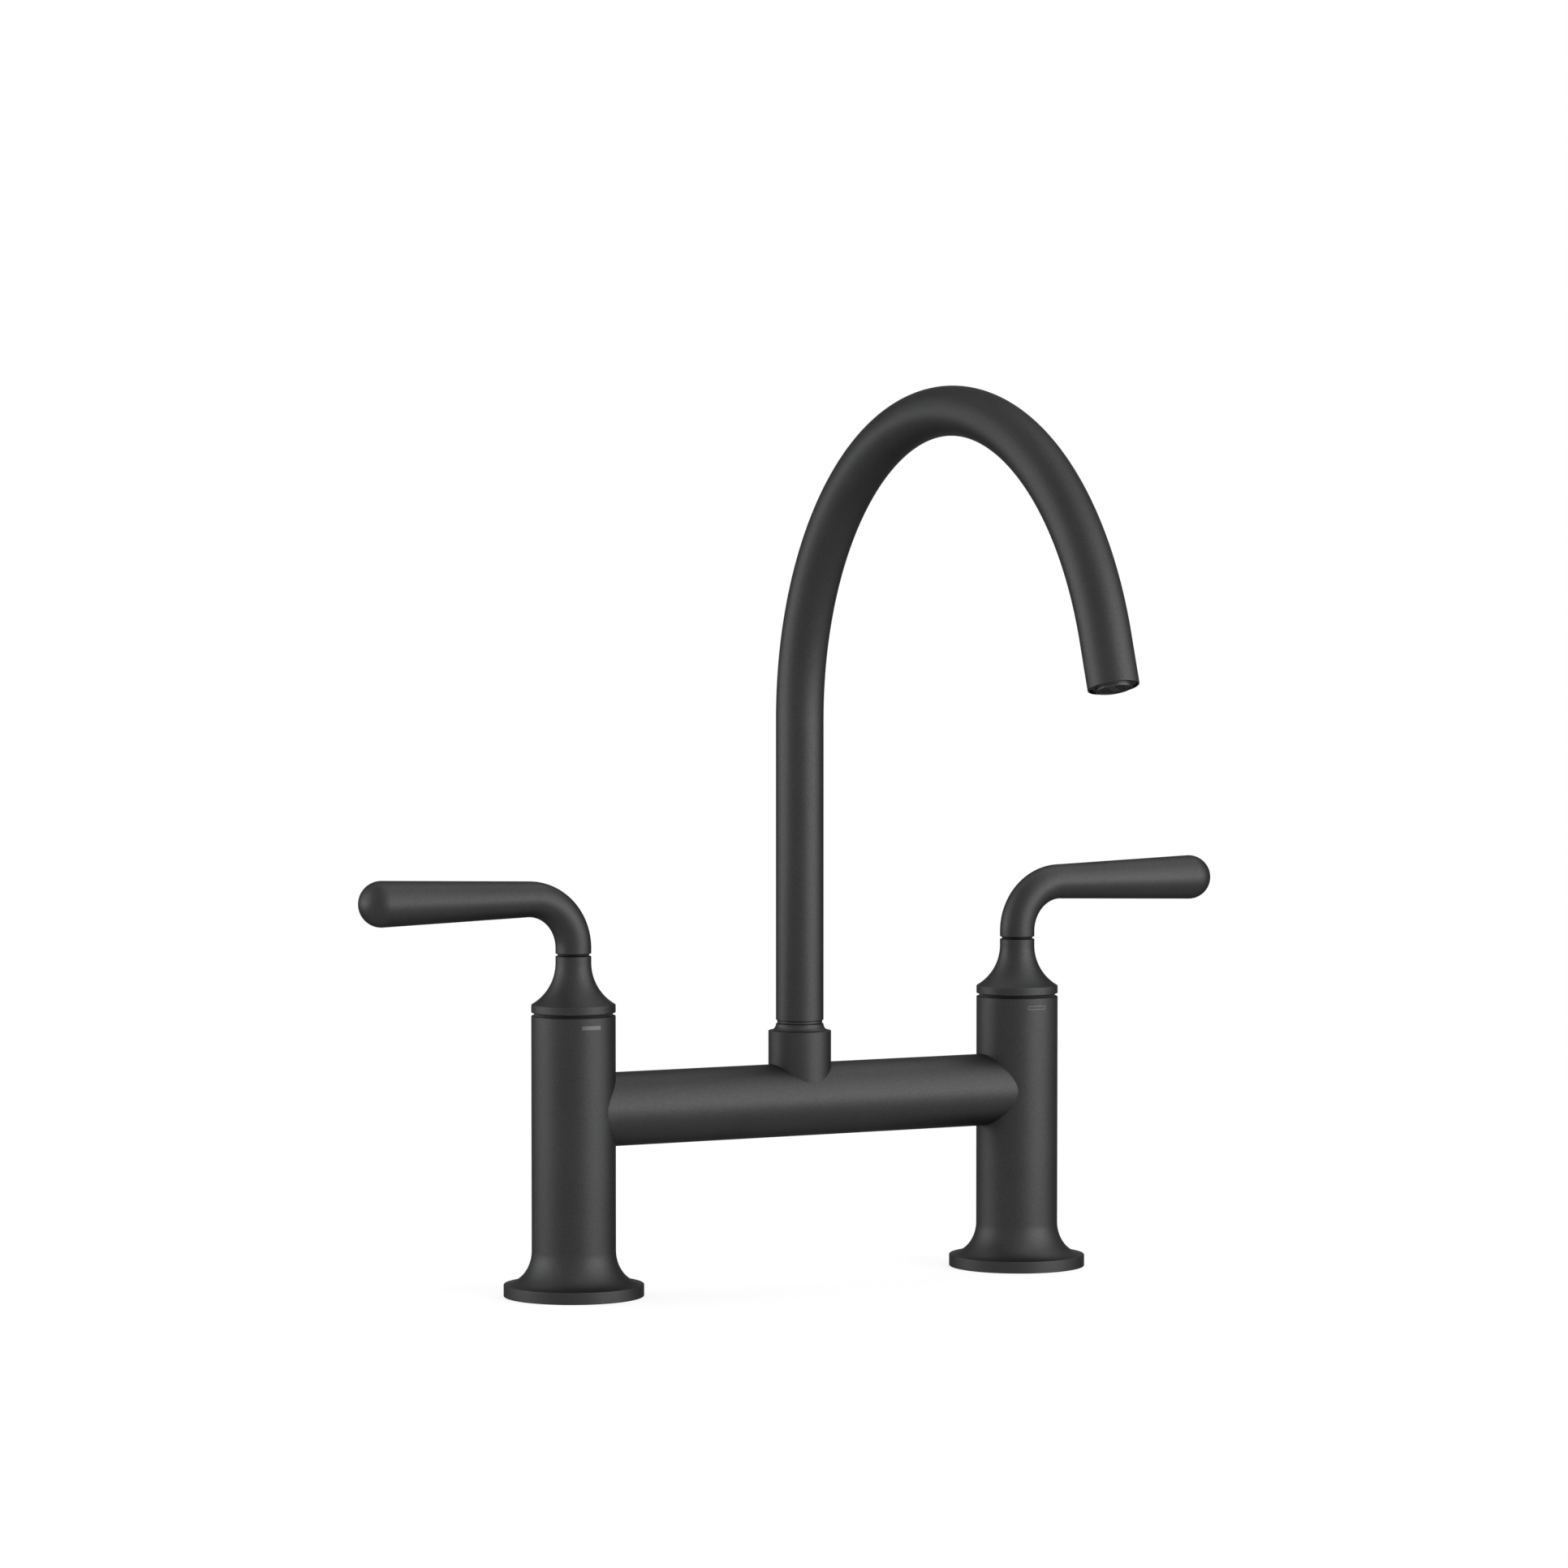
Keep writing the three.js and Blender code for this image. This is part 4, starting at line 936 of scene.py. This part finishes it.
# ---------------------------------------------------------------- Stage
def softbox(name, azimuth, elevation, width, height, brightness):
    """An area lamp round the object. Azimuth 0 is straight in front and 90 on the right."""
    target = Vector(LAMP_TARGET)
    a = math.radians(azimuth)
    e = math.radians(elevation)
    way = Vector((math.sin(a) * math.cos(e), -math.cos(a) * math.cos(e), math.sin(e)))
    lamp = bpy.data.lights.new(name, "AREA")
    lamp.shape = "RECTANGLE"
    lamp.size = width
    lamp.size_y = height
    lamp.energy = brightness * math.pi * width * height
    obj = bpy.data.objects.new(name, lamp)
    bpy.context.scene.collection.objects.link(obj)
    obj.visible_camera = False
    obj.location = target + way * LAMP_DISTANCE
    obj.rotation_euler = (target - obj.location).to_track_quat("-Z", "Y").to_euler()


def seen_directly(nodes):
    """1 for what the camera sees directly, in a mirror or through glass."""
    rays = nodes.node("ShaderNodeLightPath").output.node.outputs
    camera, glossy, through = (
        Socket(nodes, rays[name]) for name in ("Is Camera Ray", "Is Glossy Ray", "Is Transmission Ray")
    )
    return camera + glossy + through


def surroundings():
    """A white studio, dimmer on matt surfaces than in what the camera sees."""
    settings = bpy.context.scene.faucet_stage
    world = bpy.data.worlds.new("studio")
    bpy.context.scene.world = world
    studio = Nodes(world)
    level = settings.ambient + seen_directly(studio) * (1 - settings.ambient)
    light = studio.node("ShaderNodeBackground", inputs={"Color": (1, 1, 1, 1), "Strength": level})
    studio.node("ShaderNodeOutputWorld", inputs={"Surface": light})


def floor_material():
    """A pale floor that keeps the object's shadow and turns plain white away from it."""
    floor = new_material("floor")
    across, back, _ = floor.split(floor.place())
    distance = floor.node("ShaderNodeMath", {"operation": "SQRT"}, {0: across * across + back * back})
    white = seen_directly(floor) * distance.ramp(*FLOOR_FADE, FLOOR_NEAR, 1.0)
    matt = floor.node("ShaderNodeBsdfDiffuse", inputs={"Color": opaque((FLOOR_GREY,) * 3)})
    glow = floor.node("ShaderNodeEmission", inputs={"Color": (1, 1, 1, 1), "Strength": 1.0})
    surface = floor.node("ShaderNodeMixShader", inputs={0: white, 1: matt, 2: glow})
    floor.node("ShaderNodeOutputMaterial", inputs={"Surface": surface})
    return floor.owner


# ---------------------------------------------------------------- Operators
class BuildOperator:
    """What the operators share."""

    bl_options = {"REGISTER", "UNDO"}

    def execute(self, context):
        self.build()
        return {"FINISHED"}


class FAUCET_OT_stage(BuildOperator, bpy.types.Operator):
    """Sets the camera, the lamps, the floor and the surroundings"""

    bl_idname = "faucet.stage"
    bl_label = "Stage"

    def build(self):
        scene = bpy.context.scene
        settings = scene.faucet_stage
        scene.view_settings.view_transform = "Standard"
        lens = bpy.data.cameras.new("photo_camera")
        lens.lens = settings.lens
        lens.clip_end = CLIP_END
        camera = bpy.data.objects.new("photo_camera", lens)
        camera.location = settings.camera_place
        camera.rotation_euler = (math.pi / 2 - settings.camera_dip, 0, -settings.camera_turn)
        scene.collection.objects.link(camera)
        scene.camera = camera
        for name, placing in SOFTBOXES.items():
            softbox(name, *placing)
        surroundings()
        ground = bmesh.new()
        bmesh.ops.create_circle(ground, cap_ends=True, radius=FLOOR_RADIUS, segments=FLOOR_SIDES)
        mesh = bpy.data.meshes.new("floor")
        ground.to_mesh(mesh)
        ground.free()
        mesh.materials.append(floor_material())
        floor = bpy.data.objects.new("floor", mesh)
        scene.collection.objects.link(floor)


class FAUCET_OT_pillars(BuildOperator, bpy.types.Operator):
    """Builds both pillars with their feet, and their hot and cold marks"""

    bl_idname = "faucet.pillars"
    bl_label = "Pillars"

    def build(self):
        for side in SIDE_NAMES:
            piece(
                f"{side}_pillar", pillar_shape(side), "faucet_body", "black_coat", [f"{side}_pillar_shell"],
                material=f"{side}_pillar",
            )


class FAUCET_OT_handles(BuildOperator, bpy.types.Operator):
    """Builds the coved caps, the bent levers and the dark rings in their seams"""

    bl_idname = "faucet.handles"
    bl_label = "Handles"

    def build(self):
        for side in SIDE_NAMES:
            body = f"{side}_handle"
            spacer = f"{side}_lever_spacer"
            piece(f"{side}_cap", cap_shape(side), body, "black_coat", [f"{side}_handle_cap"])
            piece(f"{side}_bent_lever", lever_shape(side), body, "black_coat", [f"{side}_lever"])
            inner = radius_of(f"{side}_lever_stud") + CLEARANCE
            seam = band_shape(spacer, inner, high(f"{side}_handle_cap").z, low(f"{side}_lever").z)
            piece(f"{side}_spacer", seam, body, "polymer", [spacer])
            piece(f"{side}_glide", glide_shape(side), "faucet_body", "polymer", [f"{side}_glide_ring"])


class FAUCET_OT_bridge(BuildOperator, bpy.types.Operator):
    """Builds the bridge tube, the collar on its middle and what is fitted in the collar"""

    bl_idname = "faucet.bridge"
    bl_label = "Bridge and collar"

    def build(self):
        body = "faucet_body"
        piece("bridge", bridge_shape(), body, "black_coat", ["bridge_tube"])
        piece("collar", collar_shape(), body, "black_coat", ["tee_collar"])
        inner = radius_of("spout_spigot") + CLEARANCE
        seam = band_shape("swivel_ring", inner, COLLAR_TOP, SPOUT_BOTTOM - RUNNING_GAP)
        piece("swivel_band", seam, body, "black_coat", ["swivel_ring"])
        piece("set_screw", grub_screw_shape(), body, "steel", ["spout_grub_screw"])


class FAUCET_OT_spout(BuildOperator, bpy.types.Operator):
    """Builds the gooseneck spout with the aerator in its outlet"""

    bl_idname = "faucet.spout"
    bl_label = "Spout"

    def build(self):
        piece("gooseneck", gooseneck_shape(), "spout", "black_coat", ["spout_tube"])
        piece("aerator_ring", aerator_shape(), "spout", "polymer", ["aerator_housing"], material="moulding")
        piece("aerator_grid", grid_shape(), "spout", "polymer", ["aerator_insert"], material="moulding")


class FAUCET_OT_inner_parts(BuildOperator, bpy.types.Operator):
    """Gives the valves, seals and fixings inside their finishes"""

    bl_idname = "faucet.inner_parts"
    bl_label = "Inner parts"

    def build(self):
        slots = {row["node"]: row["material_slot"] for row in frame["record"]["subparts"]}
        for name, node in frame["nodes"].items():
            if not node.hide_render:
                node.data.materials.clear()
                node.data.materials.append(material_named(slots[name]))


class FAUCET_PT_panel(bpy.types.Panel):
    """Lists the faucet's steps and settings"""

    bl_idname = "FAUCET_PT_panel"
    bl_label = "Bridge kitchen faucet"
    bl_space_type = "VIEW_3D"
    bl_region_type = "UI"
    bl_category = "Faucet"

    def draw(self, context):
        for step in STEPS:
            self.layout.operator(step.bl_idname)
        for name, kind in GROUPS.items():
            box = self.layout.box()
            for setting in kind.__annotations__:
                box.prop(getattr(context.scene, name), setting)


STEPS = (
    FAUCET_OT_stage,
    FAUCET_OT_pillars,
    FAUCET_OT_handles,
    FAUCET_OT_bridge,
    FAUCET_OT_spout,
    FAUCET_OT_inner_parts,
)
GROUPS = {
    "faucet_sizes": FaucetSizes,
    "aerator_sizes": AeratorSizes,
    "faucet_finish": FaucetFinish,
    "faucet_stage": FaucetStage,
}
CLASSES = (*GROUPS.values(), *STEPS, FAUCET_PT_panel)


def register():
    for item in CLASSES:
        bpy.utils.register_class(item)
    for name, group in GROUPS.items():
        setattr(bpy.types.Scene, name, PointerProperty(type=group))


def unregister():
    for name in GROUPS:
        delattr(bpy.types.Scene, name)
    for item in reversed(CLASSES):
        bpy.utils.unregister_class(item)


def main():
    register()
    bpy.ops.faucet.stage()
    bpy.ops.faucet.pillars()
    bpy.ops.faucet.handles()
    bpy.ops.faucet.bridge()
    bpy.ops.faucet.spout()
    bpy.ops.faucet.inner_parts()


if __name__ == "__main__":
    main()
